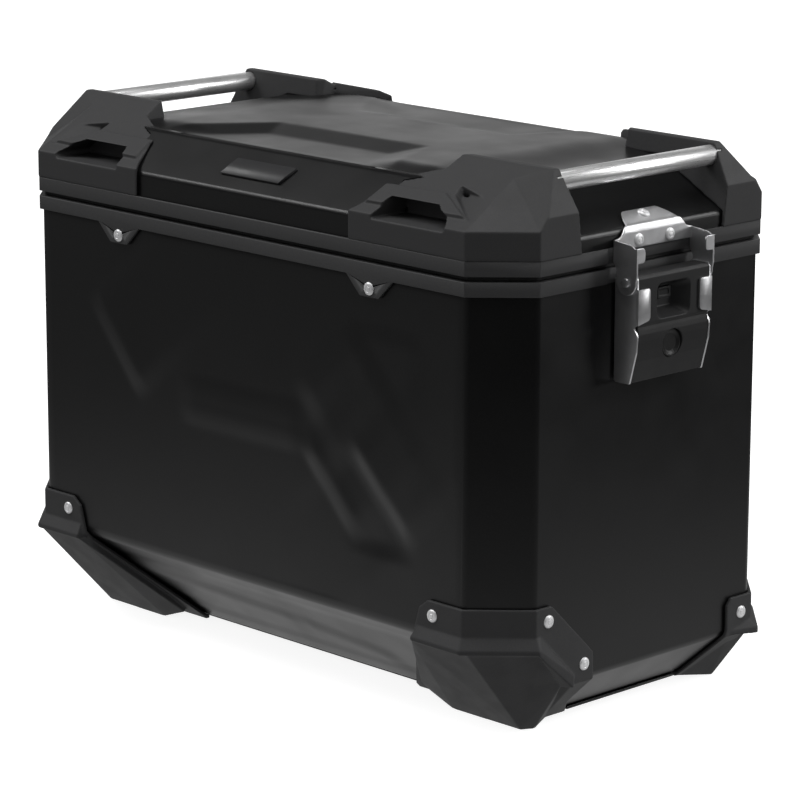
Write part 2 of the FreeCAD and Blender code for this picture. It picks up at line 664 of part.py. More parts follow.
def bracket():
    """Stainless bracket on the lid: a bent plate with two arms that carry the latch pin."""
    face_in, face_out = 253.2, BRACKET_FACE_X
    upright = prism("bracket_upright", "YZ", [
        (-S["arm_out"], 331), (S["arm_out"], 331), (S["arm_out"], 338.5), (32, 340),
        (27, 346), (-27, 346), (-32, 340), (-S["arm_out"], 338.5)], face_in, face_out)
    tan = math.tan(end_slope)
    lift = SLOPE_PLATE_LIFT / math.cos(end_slope)
    under = 1.2 / math.cos(end_slope)

    def slope_z(x, raised):
        return V["end_bead"] + tan * (V["case_half_x"] - x) + raised

    strip = prism("bracket_strip", "XZ", [
        (face_in, 343), (face_out, 343), (face_out, slope_z(face_out, lift)),
        (238.5, slope_z(238.5, lift)), (238.5, slope_z(238.5, under)),
        (face_in, slope_z(face_in, under))], -30, 30)
    plan = prism("bracket_plan", "XY", [
        (260, -27), (260, 27), (252, 25.5), (246, 22.5), (241, 19), (239.5, 15),
        (239.5, -15), (241, -19), (246, -22.5), (252, -25.5)], 330, 370)
    slope_plate = common("bracket_slope", strip, plan)
    pieces = [upright, slope_plate]
    for side, name in ((-1, "front"), (1, "back")):
        near, far = (S["arm_in"], S["arm_out"]) if side > 0 else (-S["arm_out"], -S["arm_in"])
        plate = prism(f"bracket_arm_{name}", "XZ", [
            (face_in, 338.5), (270, 337), (274.4, 333.5), (274.4, 314), (273.6, 311.6),
            (257, 311.6), (256, 320), (face_in, 324)], near, far)
        eye = round_about_pin(f"bracket_eye_{name}", 8.6, near, far)
        tab_inner = S["arm_out"] - 8.5
        edges = (tab_inner, S["arm_out"]) if side > 0 else (-S["arm_out"], -tab_inner)
        tab = box(f"bracket_tab_{name}", (272.9, edges[0], 325.3), (274.4, edges[1], 335.6))
        pieces += [plate, eye, tab]
    whole = fuse("bracket_whole", *pieces)
    drill_tools = stored("bracket_drills", at_places(drill(RIVET_HOLE, 8), bracket_rivet_places))
    return cut("lid_bracket_right", whole, fuse("bracket_tools", pin_bore, drill_tools))


SCREW_RADIUS, SCREW_HOLE = 1.25, 1.35
cover_screw_places = [((V["lever_back"], y, z), (-1, 0, 0)) for y in (-30, 30) for z in (252, 300)]
SIDE_OUTLINE = [
    (253.6, 244), (255, 242.5), (267.4, 242.5), (273.2, 265), (274, 276.5), (270.5, 281.7),
    (273.4, 283.5), (273.4, 314.5), (271.6, 316.6), (257, 316.6), (253.6, 313.2)]


def lever_frame():
    """Stainless channel of the lever: two side plates, two back webs and two bent tabs."""
    inner = S["lever_out"] - S["lever_sheet"]
    pieces = []
    for side, name in ((-1, "front"), (1, "back")):
        near, far = (inner, S["lever_out"]) if side > 0 else (-S["lever_out"], -inner)
        pieces.append(prism(f"frame_side_{name}", "XZ", SIDE_OUTLINE, near, far))
        tab_inner = S["lever_out"] - 12
        pieces.append(prism(f"frame_tab_{name}", "YZ", [
            (side * S["lever_out"], 283.5), (side * S["lever_out"], 307.5), (side * (tab_inner + 2), 307.5),
            (side * tab_inner, 305.5), (side * tab_inner, 287.5), (side * (tab_inner + 2), 285.6)],
            273.4, 274.8))
    back = S["lever_back"]
    pieces.append(box("frame_low_web", (back, -inner, 244), (back + 1.2, -25, 260)))
    pieces.append(box("frame_low_web_back", (back, 25, 244), (back + 1.2, inner, 260)))
    pieces.append(box("frame_high_web", (back, -inner, 293.5), (back + 1.2, inner, 307)))
    screw_holes = stored("frame_screw_holes", at_places(drill(SCREW_HOLE, 6), cover_screw_places))
    return cut("lever_frame_right", fuse("frame_whole", *pieces),
               fuse("frame_tools", pin_bore, screw_holes))


COVER_HALF = 35.1
COVER_BACK = 259.6
LIP_END_X = 262.0  # outer edge of the striker's lips


def lever_cover():
    """Moulded cover of the lever, with the square recess, the lock bore and its cavities."""
    front = [(COVER_BACK, 243), (267.1, 243), (272.9, 265.2), (273.7, 276.4), (272.6, 281.8),
             (273.2, 283.6), (273.2, 314.3), (271.5, 316.4), (COVER_BACK, 316.4)]
    blank = prism("cover_blank", "XZ", front, -COVER_HALF, COVER_HALF)
    funnel_body = new_body("cover_funnel")
    for level, half, low, high in ((273.6, 16.5, 284.6, 309.4), (263.0, 8.5, 291.5, 304.8)):
        corners = [(-half, low), (half, low), (half, high), (-half, high)]
        draw_loop(new_sketch(funnel_body, "YZ", level), corners)
    sketches = [o for o in funnel_body.Group if o.isDerivedFrom("Sketcher::SketchObject")]
    loft = funnel_body.newObject("PartDesign::AdditiveLoft", "cover_funnel_loft")
    loft.Profile = sketches[0]
    loft.Sections = [sketches[1]]
    loft.Ruled = True
    button_window = box("button_window", (258, -7.0, 295.6), (266, 7.0, 303.9))
    lock_bore = prism("lock_bore", "YZ", None, 250, 280, [(0, S["lock_z"], S["lock_radius"] + 0.3)])
    hook_slot = box("hook_slot", (250, -40, 278.6), (269.4, 40, 282.0))
    lip_rooms = [box(f"lip_room_{name}", (250, low, 240), (LIP_END_X + 0.4, high, 289.5))
                 for name, low, high in (("front", -25, -13), ("back", 13, 25))]
    screw_holes = stored("cover_screw_holes", at_places(drill(SCREW_HOLE, 11), cover_screw_places))
    tools = fuse("cover_tools", pin_bore, funnel_body, button_window, lock_bore, hook_slot,
                 screw_holes, *lip_rooms)
    return cut("lever_cover_right", blank, tools)


def hook():
    """Plate across the lever whose curved upper face follows an arc about the pin."""
    outer, inner = S["hook_radius"] + S["hook_sheet"], S["hook_radius"]
    disc = round_about_pin("hook_disc", outer, -COVER_HALF, COVER_HALF)
    bore = round_about_pin("hook_bore", inner, -40, 40)
    arc = cut("hook_arc", disc, bore)
    zone = box("hook_zone", (LIP_END_X + 0.4, -40, 270), (269, 40, 290))
    return common("catch_hook_right", arc, zone)


def striker():
    """Catch plate on the case, with two lips welded on for the lever's hook."""
    wall = S["case_half_x"] + 0.1
    blank = box("striker_blank", (wall, -25, 261), (STRIKER_FACE_X, 25, 301))
    drill_tools = stored("striker_drills", at_places(drill(RIVET_HOLE, 6), striker_rivet_places))
    sinks = stored("striker_sinks", at_places(
        Part.makeCylinder(3.4, 6, Vector(0, 0, 0.6)), striker_rivet_places))
    plate = cut("striker_plate", blank, fuse("striker_tools", drill_tools, sinks))
    lips = [box(f"striker_lip_{name}", (STRIKER_FACE_X, low, 283.4), (LIP_END_X, high, 285.4))
            for name, low, high in (("front", -24, -14), ("back", 14, 24))]
    whole = doc.addObject("Part::Compound", "striker_right")
    whole.Label = "striker_right"
    whole.Links = [plate, *lips]
    return whole


lid_bracket_right = bracket()
lever_frame_right = lever_frame()
lever_cover_right = lever_cover()
catch_hook_right = hook()
striker_right = striker()
cover_screws_right = stored("cover_screws_right", at_places(
    Part.makeCylinder(SCREW_RADIUS, 9.0, Vector(0, 0, -10.5)), cover_screw_places))

lock_core = prism("lock_core", "YZ", None, 257.4, 271.6, [(0, S["lock_z"], S["lock_radius"])])
lock_dish = stored("lock_dish", Part.makeCone(
    6.0, 9.2, 1.6, Vector(270.4, 0, V["lock_z"]), Vector(1, 0, 0)))
lock_cylinder_right = cut("lock_cylinder_right", lock_core, lock_dish)
cam_hub = prism("cam_hub", "YZ", None, 255.4, 257.2, [(0, S["lock_z"], 6)])
cam_tongue = box("cam_tongue", (255.4, -3, S["lock_z"]), (257.2, 3, S["lock_z"] + 9))
lock_cam_right = fuse("lock_cam_right", cam_hub, cam_tongue)

release_button_right = box("release_button_right", (259.2, -6.7, 295.9), (264.5, 6.7, 303.6))
slider_bridge = box("slider_bridge", (256.4, -23, 287.6), (258.2, 23, 290.6))
slider_legs = [box(f"slider_leg_{name}", (256.4, low, 287.6), (258.2, high, 303))
               for name, low, high in (("front", -12, -8.6), ("back", 8.6, 12))]
catch_slider_right = fuse("catch_slider_right", slider_bridge, *slider_legs)

SPRING_WIRE, SPRING_RADIUS, SPRING_LENGTH = 0.35, 2.2, 3.9
helix = Part.makeHelix(1.1, SPRING_LENGTH - 2 * SPRING_WIRE - 0.2, SPRING_RADIUS)
wire_circle = Part.Wire(Part.makeCircle(SPRING_WIRE, Vector(SPRING_RADIUS, 0, 0), Vector(0, 1, 0.1)))
coil = Part.Wire(helix).makePipeShell([wire_circle], True, True)
coil = turned(coil, (1, 0, 0))
coil.translate(Vector(255.0 + SPRING_WIRE, 0, 299.75))
button_spring_right = stored("button_spring_right", coil)

bracket_rivets = stored(
    "bracket_rivets", at_places(rivet(4.4, 4.4, 1.9), both_ends(bracket_rivet_places)))
flush_rivet = Part.makeCylinder(3.2, 0.55, Vector(0, 0, 0.65)).fuse(
    Part.makeCylinder(V["rivet_radius"], 5.6, Vector(0, 0, -4.4))).fuse(
    Part.makeCylinder(3.2, 1.2, Vector(0, 0, -4.4)))
striker_rivets = stored(
    "striker_rivets", at_places(flush_rivet.removeSplitter(), both_ends(striker_rivet_places)))

LATCH_PIECES = {
    "lid_bracket": lid_bracket_right, "latch_pin": latch_pin_right, "lever_frame": lever_frame_right,
    "lever_cover": lever_cover_right, "cover_screws": cover_screws_right,
    "catch_hook": catch_hook_right, "striker": striker_right, "lock_cylinder": lock_cylinder_right,
    "lock_cam": lock_cam_right, "release_button": release_button_right,
    "catch_slider": catch_slider_right, "button_spring": button_spring_right,
}
left_pieces = {name: mirror(f"{name}_left", piece, (1, 0, 0))
               for name, piece in LATCH_PIECES.items()}

# ---------------------------------------------------------------- check and write

NODES = {
    "body_shell": body_shell, "bottom_plate": bottom_plate, "bottom_inserts": bottom_inserts,
    "body_rim": body_rim, "rim_rivets": rim_rivets, "foot_rivets": foot_rivets,
    "foot_front_right": foot_front_right, "foot_front_left": foot_front_left,
    "foot_back_right": foot_back_right, "foot_back_left": foot_back_left,
    "striker_rivets": striker_rivets,
    "lid_shell": lid_shell, "lid_rim": lid_rim, "lid_seal": lid_seal, "lid_badge": badge_body,
    "cap_front_right": cap_front_right, "cap_front_left": cap_front_left,
    "cap_back_right": cap_back_right, "cap_back_left": cap_back_left, "cap_screws": cap_screws,
    "handle_tube_right": handle_tube_right, "handle_tube_left": handle_tube_left,
    "bracket_rivets": bracket_rivets,
}
for name, piece in LATCH_PIECES.items():
    NODES[f"{name}_right"] = piece
    NODES[f"{name}_left"] = left_pieces[name]

doc.recompute()
for item in doc.Objects:
    bad = [state for state in item.State if state in ("Invalid", "Error")]
    if bad:
        raise RuntimeError(f"{item.Name} ({item.Label}) is {bad}")
os.makedirs("parts", exist_ok=True)
for name, piece in NODES.items():
    shape = piece.Shape
    if shape.isNull() or not shape.isValid() or not shape.Solids:
        raise RuntimeError(f"{name} has no valid solid")
    shape.exportStep(f"parts/{name}.step")
    corner = shape.BoundBox
    print(f"{name:22s} solids {len(shape.Solids)} volume {shape.Volume / 1000:8.1f} cm3"
          f"  x {corner.XMin:.1f}..{corner.XMax:.1f}  y {corner.YMin:.1f}..{corner.YMax:.1f}"
          f"  z {corner.ZMin:.1f}..{corner.ZMax:.1f}")
print(len(NODES), "nodes")
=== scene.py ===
"""Looks of an aluminium motorcycle case: sheet shells, moulded corners and two end latches.

Metres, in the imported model's frame: +Z up, X along the case, -Y the outer long side.
"""
import itertools
import json
import math

import bmesh
import bpy
from mathutils import Matrix, Vector


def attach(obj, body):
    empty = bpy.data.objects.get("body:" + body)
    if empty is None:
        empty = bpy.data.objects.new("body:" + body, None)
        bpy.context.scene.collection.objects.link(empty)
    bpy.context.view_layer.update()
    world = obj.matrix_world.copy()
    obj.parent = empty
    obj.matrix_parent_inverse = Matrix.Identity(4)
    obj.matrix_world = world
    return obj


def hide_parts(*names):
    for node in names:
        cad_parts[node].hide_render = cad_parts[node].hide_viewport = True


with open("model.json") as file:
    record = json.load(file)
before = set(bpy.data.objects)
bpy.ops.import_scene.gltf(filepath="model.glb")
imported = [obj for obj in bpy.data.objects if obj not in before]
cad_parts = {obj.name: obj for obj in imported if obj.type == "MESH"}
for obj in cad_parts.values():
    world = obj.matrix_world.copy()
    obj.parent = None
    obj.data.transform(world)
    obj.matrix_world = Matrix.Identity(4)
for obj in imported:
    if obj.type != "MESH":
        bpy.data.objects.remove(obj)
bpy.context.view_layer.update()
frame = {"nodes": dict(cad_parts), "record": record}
NODES = frame["nodes"]
MM = 0.001


# ---------------------------------------------------------------- materials

def ranged(tree, value, source, target, smooth=False):
    """A value, mapped from one range to another and kept inside it."""
    node = tree.nodes.new("ShaderNodeMapRange")
    if smooth:
        node.interpolation_type = "SMOOTHSTEP"
    node.inputs["From Min"].default_value, node.inputs["From Max"].default_value = source
    node.inputs["To Min"].default_value, node.inputs["To Max"].default_value = target
    tree.links.new(value, node.inputs["Value"])
    return node.outputs["Result"]


class Shading:
    """A procedural material, built on the object's own coordinates in metres."""

    # most values of a noise texture lie in this range
    USUAL_NOISE = (0.3, 0.7)

    def __init__(self, name, colour, roughness, metallic=0.0, **sockets):
        self.material = bpy.data.materials.new(name)
        self.material.use_nodes = True
        self.tree = self.material.node_tree
        self.shader = self.tree.nodes["Principled BSDF"]
        self.colour = colour
        self.roughness = roughness
        self.shader.inputs["Base Color"].default_value = (*colour, 1.0)
        self.shader.inputs["Roughness"].default_value = roughness
        self.shader.inputs["Metallic"].default_value = metallic
        for socket, value in sockets.items():
            self.shader.inputs[socket.replace("_", " ")].default_value = value
        self.place = self.tree.nodes.new("ShaderNodeTexCoord").outputs["Object"]
        self.height = None

    def noise(self, per_metre, detail=3.0, stretch=(1, 1, 1)):
        """A noise value whose grain is about 1 / per_metre long, drawn out along some axes."""
        mapping = self.tree.nodes.new("ShaderNodeMapping")
        mapping.inputs["Scale"].default_value = [per_metre / s for s in stretch]
        self.tree.links.new(self.place, mapping.inputs["Vector"])
        texture = self.tree.nodes.new("ShaderNodeTexNoise")
        texture.inputs["Scale"].default_value = 1.0
        texture.inputs["Detail"].default_value = detail
        self.tree.links.new(mapping.outputs["Vector"], texture.inputs["Vector"])
        return texture.outputs["Fac"]

    def spread(self, value, low, high):
        """A noise value, mapped to another range."""
        return ranged(self.tree, value, self.USUAL_NOISE, (low, high))

    def vary_colour(self, value, other):
        """Let a noise value mix the colour with another one."""
        mix = self.tree.nodes.new("ShaderNodeMix")
        mix.data_type = "RGBA"
        mix.inputs["A"].default_value = (*self.colour, 1.0)
        mix.inputs["B"].default_value = (*other, 1.0)
        self.tree.links.new(self.spread(value, 0.0, 1.0), mix.inputs["Factor"])
        self.tree.links.new(mix.outputs["Result"], self.shader.inputs["Base Color"])
        return self

    def vary_roughness(self, value, amount):
        """Let a noise value move the roughness up and down by an amount."""
        low, high = self.roughness - amount, self.roughness + amount
        self.tree.links.new(self.spread(value, low, high), self.shader.inputs["Roughness"])
        return self

    def bump(self, value, depth):
        """Relief of the given depth in metres; a second call adds to the first."""
        node = self.tree.nodes.new("ShaderNodeBump")
        node.inputs["Distance"].default_value = depth
        node.inputs["Strength"].default_value = 1.0
        self.tree.links.new(value, node.inputs["Height"])
        if self.height is not None:
            self.tree.links.new(self.height, node.inputs["Normal"])
        self.height = node.outputs["Normal"]
        self.tree.links.new(self.height, self.shader.inputs["Normal"])
        return self


def coated_sheet():
    """Black powder coat: a faint orange peel and slightly uneven gloss."""
    look = Shading("coated_sheet", (0.003, 0.003, 0.0032), 0.34, Specular_IOR_Level=0.36)
    look.vary_roughness(look.noise(25, 2), 0.03)
    look.vary_colour(look.noise(900, 2), (0.0055, 0.0055, 0.0058))
    look.bump(look.noise(700, 2), 0.00003)
    return look.material


def moulded(name, colour, lighter, roughness, grain=0.00006):
    """Spark-eroded plastic: a fine, even grain."""
    look = Shading(name, colour, roughness, Specular_IOR_Level=0.28)
    look.vary_roughness(look.noise(60, 2), 0.04)
    look.vary_colour(look.noise(1500, 2), lighter)
    look.bump(look.noise(1300, 3), grain)
    return look.material


def brushed(name, colour, darker, roughness, stretch, metallic=0.8):
    """Rolled or drawn metal with fine lines along one axis."""
    look = Shading(name, colour, roughness, metallic=metallic)
    lines = look.noise(2500, 3, stretch)
    look.vary_roughness(lines, 0.07)
    look.vary_colour(look.noise(120, 3), darker)
    look.bump(lines, 0.00001)
    return look.material


def rubber():
    """Dull sealing rubber."""
    look = Shading("rubber", (0.012, 0.012, 0.012), 0.75)
    look.vary_roughness(look.noise(90, 2), 0.05)
    look.vary_colour(look.noise(400, 2), (0.02, 0.02, 0.02))
    look.bump(look.noise(1500, 2), 0.00003)
    return look.material


LOOKS = {
    "coated_aluminium": coated_sheet(),
    "corner_plastic": moulded("corner_plastic", (0.035, 0.035, 0.036),
                              (0.045, 0.045, 0.046), 0.6),
    "rim_plastic": moulded("rim_plastic", (0.045, 0.045, 0.046), (0.056, 0.056, 0.057), 0.55),
    "lever_plastic": moulded("lever_plastic", (0.014, 0.014, 0.0145),
                             (0.019, 0.019, 0.0195), 0.5),
    "bracket_steel": brushed("bracket_steel", (0.68, 0.68, 0.69), (0.6, 0.6, 0.61), 0.36,
                             (1, 20, 1), 0.92),
    "rivet_aluminium": brushed("rivet_aluminium", (0.92, 0.92, 0.93), (0.84, 0.84, 0.85), 0.42,
                               (1, 1, 1), 0.5),
    "tube_aluminium": brushed("tube_aluminium", (0.95, 0.95, 0.95), (0.88, 0.88, 0.88), 0.33,
                              (1, 40, 1)),
    "seal_rubber": rubber(),
    "lock_plastic": moulded("lock_plastic", (0.009, 0.009, 0.009), (0.013, 0.013, 0.013), 0.42,
                            0.00003),
    "spring_steel": brushed("spring_steel", (0.5, 0.5, 0.5), (0.42, 0.42, 0.42), 0.3, (1, 1, 1)),
    "badge_metal": moulded("badge_metal", (0.03, 0.03, 0.031), (0.036, 0.036, 0.037), 0.35,
                           0.00002),
}
SLOT_OF = {row["node"]: row["material_slot"] for row in frame["record"]["subparts"]}


CAD_EDGE, CAD_EDGE_ANGLE, CAD_WELD = 0.6 * MM, math.radians(25), 0.00002


def soften_cad(node):
    """Give a CAD node its material and small rounded edges."""
    item = NODES[node]
    item.data.materials.clear()
    item.data.materials.append(LOOKS[SLOT_OF[node]])
    weld = item.modifiers.new("weld", "WELD")
    weld.merge_threshold = CAD_WELD
    bevel = item.modifiers.new("edges", "BEVEL")
    bevel.width = CAD_EDGE
    bevel.segments = 2
    bevel.limit_method = "ANGLE"
    bevel.angle_limit = CAD_EDGE_ANGLE
    bevel.harden_normals = True
    bevel.use_clamp_overlap = True
    for face in item.data.polygons:
        face.use_smooth = True


# ---------------------------------------------------------------- mesh helpers, in millimetres

SAME_PLACE = 0.01       # points nearer than this are one point
NO_CORNER = 1e-4        # determinant under which three planes have no common corner


def new_object(name, bm):
    """A scene object from a bmesh that is drawn in millimetres."""
    mesh = bpy.data.meshes.new(name)
    bmesh.ops.recalc_face_normals(bm, faces=bm.faces)
    bm.to_mesh(mesh)
    bm.free()
    item = bpy.data.objects.new(name, mesh)
    bpy.context.scene.collection.objects.link(item)
    return item


def applied(item):
    """The object with its modifiers made part of its mesh."""
    graph = bpy.context.evaluated_depsgraph_get()
    mesh = bpy.data.meshes.new_from_object(item.evaluated_get(graph), depsgraph=graph)
    item.modifiers.clear()
    item.data = mesh
    return item


def boolean(base, tool, operation):
    """Cut, join or intersect two scratch objects; the tool is used up."""
    change = base.modifiers.new("boolean", "BOOLEAN")
    change.operation = operation
    change.solver = "EXACT"
    change.object = tool
    applied(base)
    bpy.data.objects.remove(tool)
    return base


def hull(name, points):
    """The smallest convex solid round some points."""
    bm = bmesh.new()
    for point in points:
        bm.verts.new(point)
    made = bmesh.ops.convex_hull(bm, input=bm.verts)
    spare = [v for v in made["geom_interior"] + made["geom_unused"]
             if isinstance(v, bmesh.types.BMVert)]
    bmesh.ops.delete(bm, geom=list(set(spare)), context="VERTS")
    return new_object(name, bm)


def convex(name, planes):
    """The solid inside every plane, each given as (point, outward normal)."""
    sides = [(Vector(n).normalized(), Vector(p).dot(Vector(n).normalized())) for p, n in planes]
    corners = []
    for (n0, d0), (n1, d1), (n2, d2) in itertools.combinations(sides, 3):
        matrix = Matrix((n0, n1, n2))
        if abs(matrix.determinant()) > NO_CORNER:
            point = matrix.inverted() @ Vector((d0, d1, d2))
            if all(n.dot(point) <= d + 1e-3 for n, d in sides):
                corners.append(point)
    item = hull(name, corners)
    bm = bmesh.new()
    bm.from_mesh(item.data)
    bmesh.ops.remove_doubles(bm, verts=bm.verts, dist=SAME_PLACE)
    bmesh.ops.dissolve_limit(bm, angle_limit=0.002, verts=bm.verts, edges=bm.edges)
    bm.to_mesh(item.data)
    bm.free()
    return item


def slab(name, outline, place, low, high):
    """A prism: an outline of 2-D points, which place(u, v, w) puts in space at w low and high."""
    bm = bmesh.new()
    ends = [[bm.verts.new(place(u, v, w)) for u, v in outline] for w in (low, high)]
    bm.faces.new(ends[0])
    bm.faces.new(ends[1])
    count = len(outline)
    for i in range(count):
        j = (i + 1) % count
        bm.faces.new((ends[0][i], ends[0][j], ends[1][j], ends[1][i]))
    return new_object(name, bm)


def joined(name, *items):
    """Several scratch objects as one, overlapping where they meet."""
    bm = bmesh.new()
    for item in items:
        bm.from_mesh(item.data)
        bpy.data.objects.remove(item)
    return new_object(name, bm)


def remoulded(item, cell, rounds, share):
    """Melt a piece's solids into one skin with softly rounded edges."""
    remesh = item.modifiers.new("cells", "REMESH")
    remesh.mode = "VOXEL"
    remesh.voxel_size = cell
    smooth = item.modifiers.new("smooth", "SMOOTH")
    smooth.factor = 0.5
    smooth.iterations = rounds
    thin = item.modifiers.new("thin", "DECIMATE")
    thin.ratio = share
    return applied(item)


def mirrored(item, name, side_x, side_y):
    """A copy of a piece, mirrored in X, Y or both."""
    copy = bpy.data.objects.new(name, item.data.copy())
    bpy.context.scene.collection.objects.link(copy)
    copy.data.transform(Matrix.Diagonal((side_x, side_y, 1, 1)))
    if side_x * side_y < 0:
        copy.data.flip_normals()
    return copy


def along_x(u, v, w):
    """Places a prism's outline (Y, Z) across X."""
    return (w, u, v)


def along_y(u, v, w):
    """Places a prism's outline (X, Z) across Y."""
    return (u, w, v)


def along_z(u, v, w):
    """Places a prism's outline (X, Y) across Z."""
    return (u, v, w)


def octagon_planes(proud):
    """The eight upright sides of the case, moved outwards."""
    planes = []
    corner = HALF_X + HALF_Y - CORNER
    for sx in (-1, 1):
        planes.append(((sx * (HALF_X + proud), 0, 0), (sx, 0, 0)))
        planes.append(((0, sx * (HALF_Y + proud), 0), (0, sx, 0)))
        for sy in (-1, 1):
            reach = (corner + proud * math.sqrt(2)) / 2
            planes.append(((sx * reach, sy * reach, 0), (sx, sy, 0)))
    return planes


def case_planes(proud, top):
    """The whole outside of the lower case: its sides, bottom and bevelled lower edges."""
    reach = proud * math.sqrt(2)
    facets = []
    for normal, distance in CORNER_FACETS:
        for side in (-1, 1):
            outward = Vector((side * normal[0], normal[1], normal[2])).normalized()
            facets.append((outward * (distance + FACET_SHARE * proud), outward))
    return octagon_planes(proud) + facets + [
        ((0, 0, top), (0, 0, 1)), ((0, 0, CASE_LOW - proud), (0, 0, -1)),
        ((0, -HALF_Y, FRONT_FOLD - reach), (0, -1, -1)),
        ((0, HALF_Y, END_FOLD - reach), (0, 1, -1)),
        ((HALF_X, 0, END_FOLD - reach), (1, 0, -1)),
        ((-HALF_X, 0, END_FOLD - reach), (-1, 0, -1))]


def lid_planes(proud, low):
    """The outside of the lid: its sides, four slopes and flat top."""
    front_rise, front_run = LID_TOP - FRONT_BEAD, HALF_Y - LID_TOP_Y
    end_rise, end_run = LID_TOP - END_BEAD, HALF_X - LID_TOP_X
    planes = octagon_planes(proud)
    planes += [((0, 0, LID_TOP + proud), (0, 0, 1)), ((0, 0, low), (0, 0, -1))]
    for sign in (-1, 1):
        front = Vector((0, sign * front_rise, front_run)).normalized()
        end = Vector((sign * end_rise, 0, end_run)).normalized()
        planes.append((Vector((0, sign * HALF_Y, FRONT_BEAD)) + front * proud, front))
        planes.append((Vector((sign * HALF_X, 0, END_BEAD)) + end * proud, end))
    return planes


def step(value, low, high):
    """A smooth rise from 0 to 1 between two values."""
    t = min(1.0, max(0.0, (value - low) / (high - low)))
    return t * t * (3 - 2 * t)


def slice_faces(bm, chosen, axis, low, high, pitch):
    """Cut the faces that carry a material number into strips across one axis."""
    normal = Vector((0, 0, 0))
    normal[axis] = 1
    count = round((high - low) / pitch)
    for i in range(count + 1):
        level = low + (high - low) * i / count
        crossing = [f for f in bm.faces if f.material_index == chosen
                    and min(v.co[axis] for v in f.verts) < level - SAME_PLACE
                    and max(v.co[axis] for v in f.verts) > level + SAME_PLACE]
        geometry = set(crossing)
        for face in crossing:
            geometry.update(face.edges)
            geometry.update(face.verts)
        if crossing:
            bmesh.ops.bisect_plane(bm, geom=list(geometry), plane_co=normal * level,
                                   plane_no=normal)


def bevel_edges(bm, width, segments=3, angle=20):
    """Round every edge whose faces meet at more than an angle."""
    sharp = [e for e in bm.edges if len(e.link_faces) == 2
             and e.calc_face_angle(0) > math.radians(angle)]
    bmesh.ops.bevel(bm, geom=sharp, offset=width, segments=segments, profile=0.5,
                    affect="EDGES", clamp_overlap=True)


def finish_piece(item, body, slot, *nodes, look=None):
    """Scale a piece to metres, give it its material and let it ride on its body."""
    item.data.transform(Matrix.Scale(MM, 4))
    item.data.materials.clear()
    item.data.materials.append(look or LOOKS[slot])
    for face in item.data.polygons:
        face.use_smooth = True
        face.material_index = 0
    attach(item, body)
    if nodes:
        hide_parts(*nodes)
    return item


def weighted(item, sharp=30):
    """Keep flat faces flat and edges crisp when the mesh is shaded smooth."""
    item.data.set_sharp_from_angle(angle=math.radians(sharp))
    modifier = item.modifiers.new("normals", "WEIGHTED_NORMAL")
    modifier.keep_sharp = True
    modifier.weight = 80


# ---------------------------------------------------------------- sheet shells

# plan of the sheet case: half lengths of an octagon, and the leg of its corner chamfer
HALF_X, HALF_Y, CORNER = 252.0, 142.5, 33.5
# levels of the case: its bottom, its top edge, and where the lower bevels start
CASE_LOW, CASE_TOP, FRONT_FOLD, END_FOLD = 8.5, 317.6, 73.0, 40.0
# the lid: its lower edge, where its slopes start, and its flat top
LID_LOW, FRONT_BEAD, END_BEAD = 326.0, 350.3, 344.3
LID_TOP, LID_TOP_X, LID_TOP_Y = 375.5, 190.0, 109.0
# level down to which the lid's corners are cut away, and the seat's outline at the +X +Y corner
LID_SEAT = 346.0
SEAT_EDGE = ((130, 113), (160, 100.5), (300, 100.5), (300, 200), (130, 200))
SHEET, CASE_FOLD, LID_FOLD = 1.5, 3.0, 2.5
RELIEF_PITCH = 3.0
# cosine over which two directions count as the same, and a looser one
SAME_WAY, NEARLY = 0.9999, 0.99
# sloping facets under the feet: outward normal at the +X end, distance from the origin
CORNER_FACETS = (((0.554, -0.531, -0.641), 153.9), ((0.535, 0.535, -0.654), 163.8))
# how far they move out, as a share of what the other sides do
FACET_SHARE = 0.6

# pressed relief of the front: (start, end, width of the ramp, height, length over which it fades)
FRONT_CREASES = [
    ((-161, 252), (-108, 190), 15, 2.6, 60), ((161, 135), (108, 190), 16, -2.0, 60),
    ((64, 183), (116, 127), 14, 2.7, 40), ((114, 190), (168, 134), 12, 2.2, 50),
    ((58, 222), (114, 272), -20, 2.0, 50), ((114, 272), (176, 272), -12, 0.8, 40),
    ((108, 122), (170, 122), 12, -1.2, 30),
    ((-64, 206), (60, 206), -14, 0.8, 16), ((-64, 182), (60, 182), 14, 1.2, 16),
]
# pressed relief of the front bevel, with heights measured down the bevel
BEVEL_CREASES = [
    ((-205, 18), (200, 18), -10, 1.2, 16), ((-190, 30), (20, 46), 10, 1.6, 26),
    ((20, 46), (110, 62), 12, 1.6, 26),
]
# how deep the bevel's field lies, its length down the slope, and the strips that are pressed
BEVEL_SUNK, BEVEL_LENGTH = 1.6, 84
PRESSED_X, PRESSED_Z = 210, (18, 306)
FRONT_FACE, BEVEL_FACE = 1, 2


def thicken(item):
    """Give an open skin the sheet's thickness, inwards."""
    solid = item.modifiers.new("thickness", "SOLIDIFY")
    solid.thickness = SHEET
    solid.offset = -1
    applied(item)


def crease_height(creases, u, v):
    """Height of pressed creases at a point: a quick ramp, which fades away behind it."""
    height = 0.0
    for (u0, v0), (u1, v1), width, rise, fade in creases:
        length = math.hypot(u1 - u0, v1 - v0)
        du, dv = (u1 - u0) / length, (v1 - v0) / length
        along = (u - u0) * du + (v - v0) * dv
        across = ((v - v0) * du - (u - u0) * dv) * (1 if width > 0 else -1)
        ramp = min(1.0, max(0.0, across / abs(width) + 0.5))
        ends = step(along, -8, 14) * step(length - along, -8, 14)
        height += rise * ramp * ends * math.exp(-max(0.0, across) / fade)
    return height


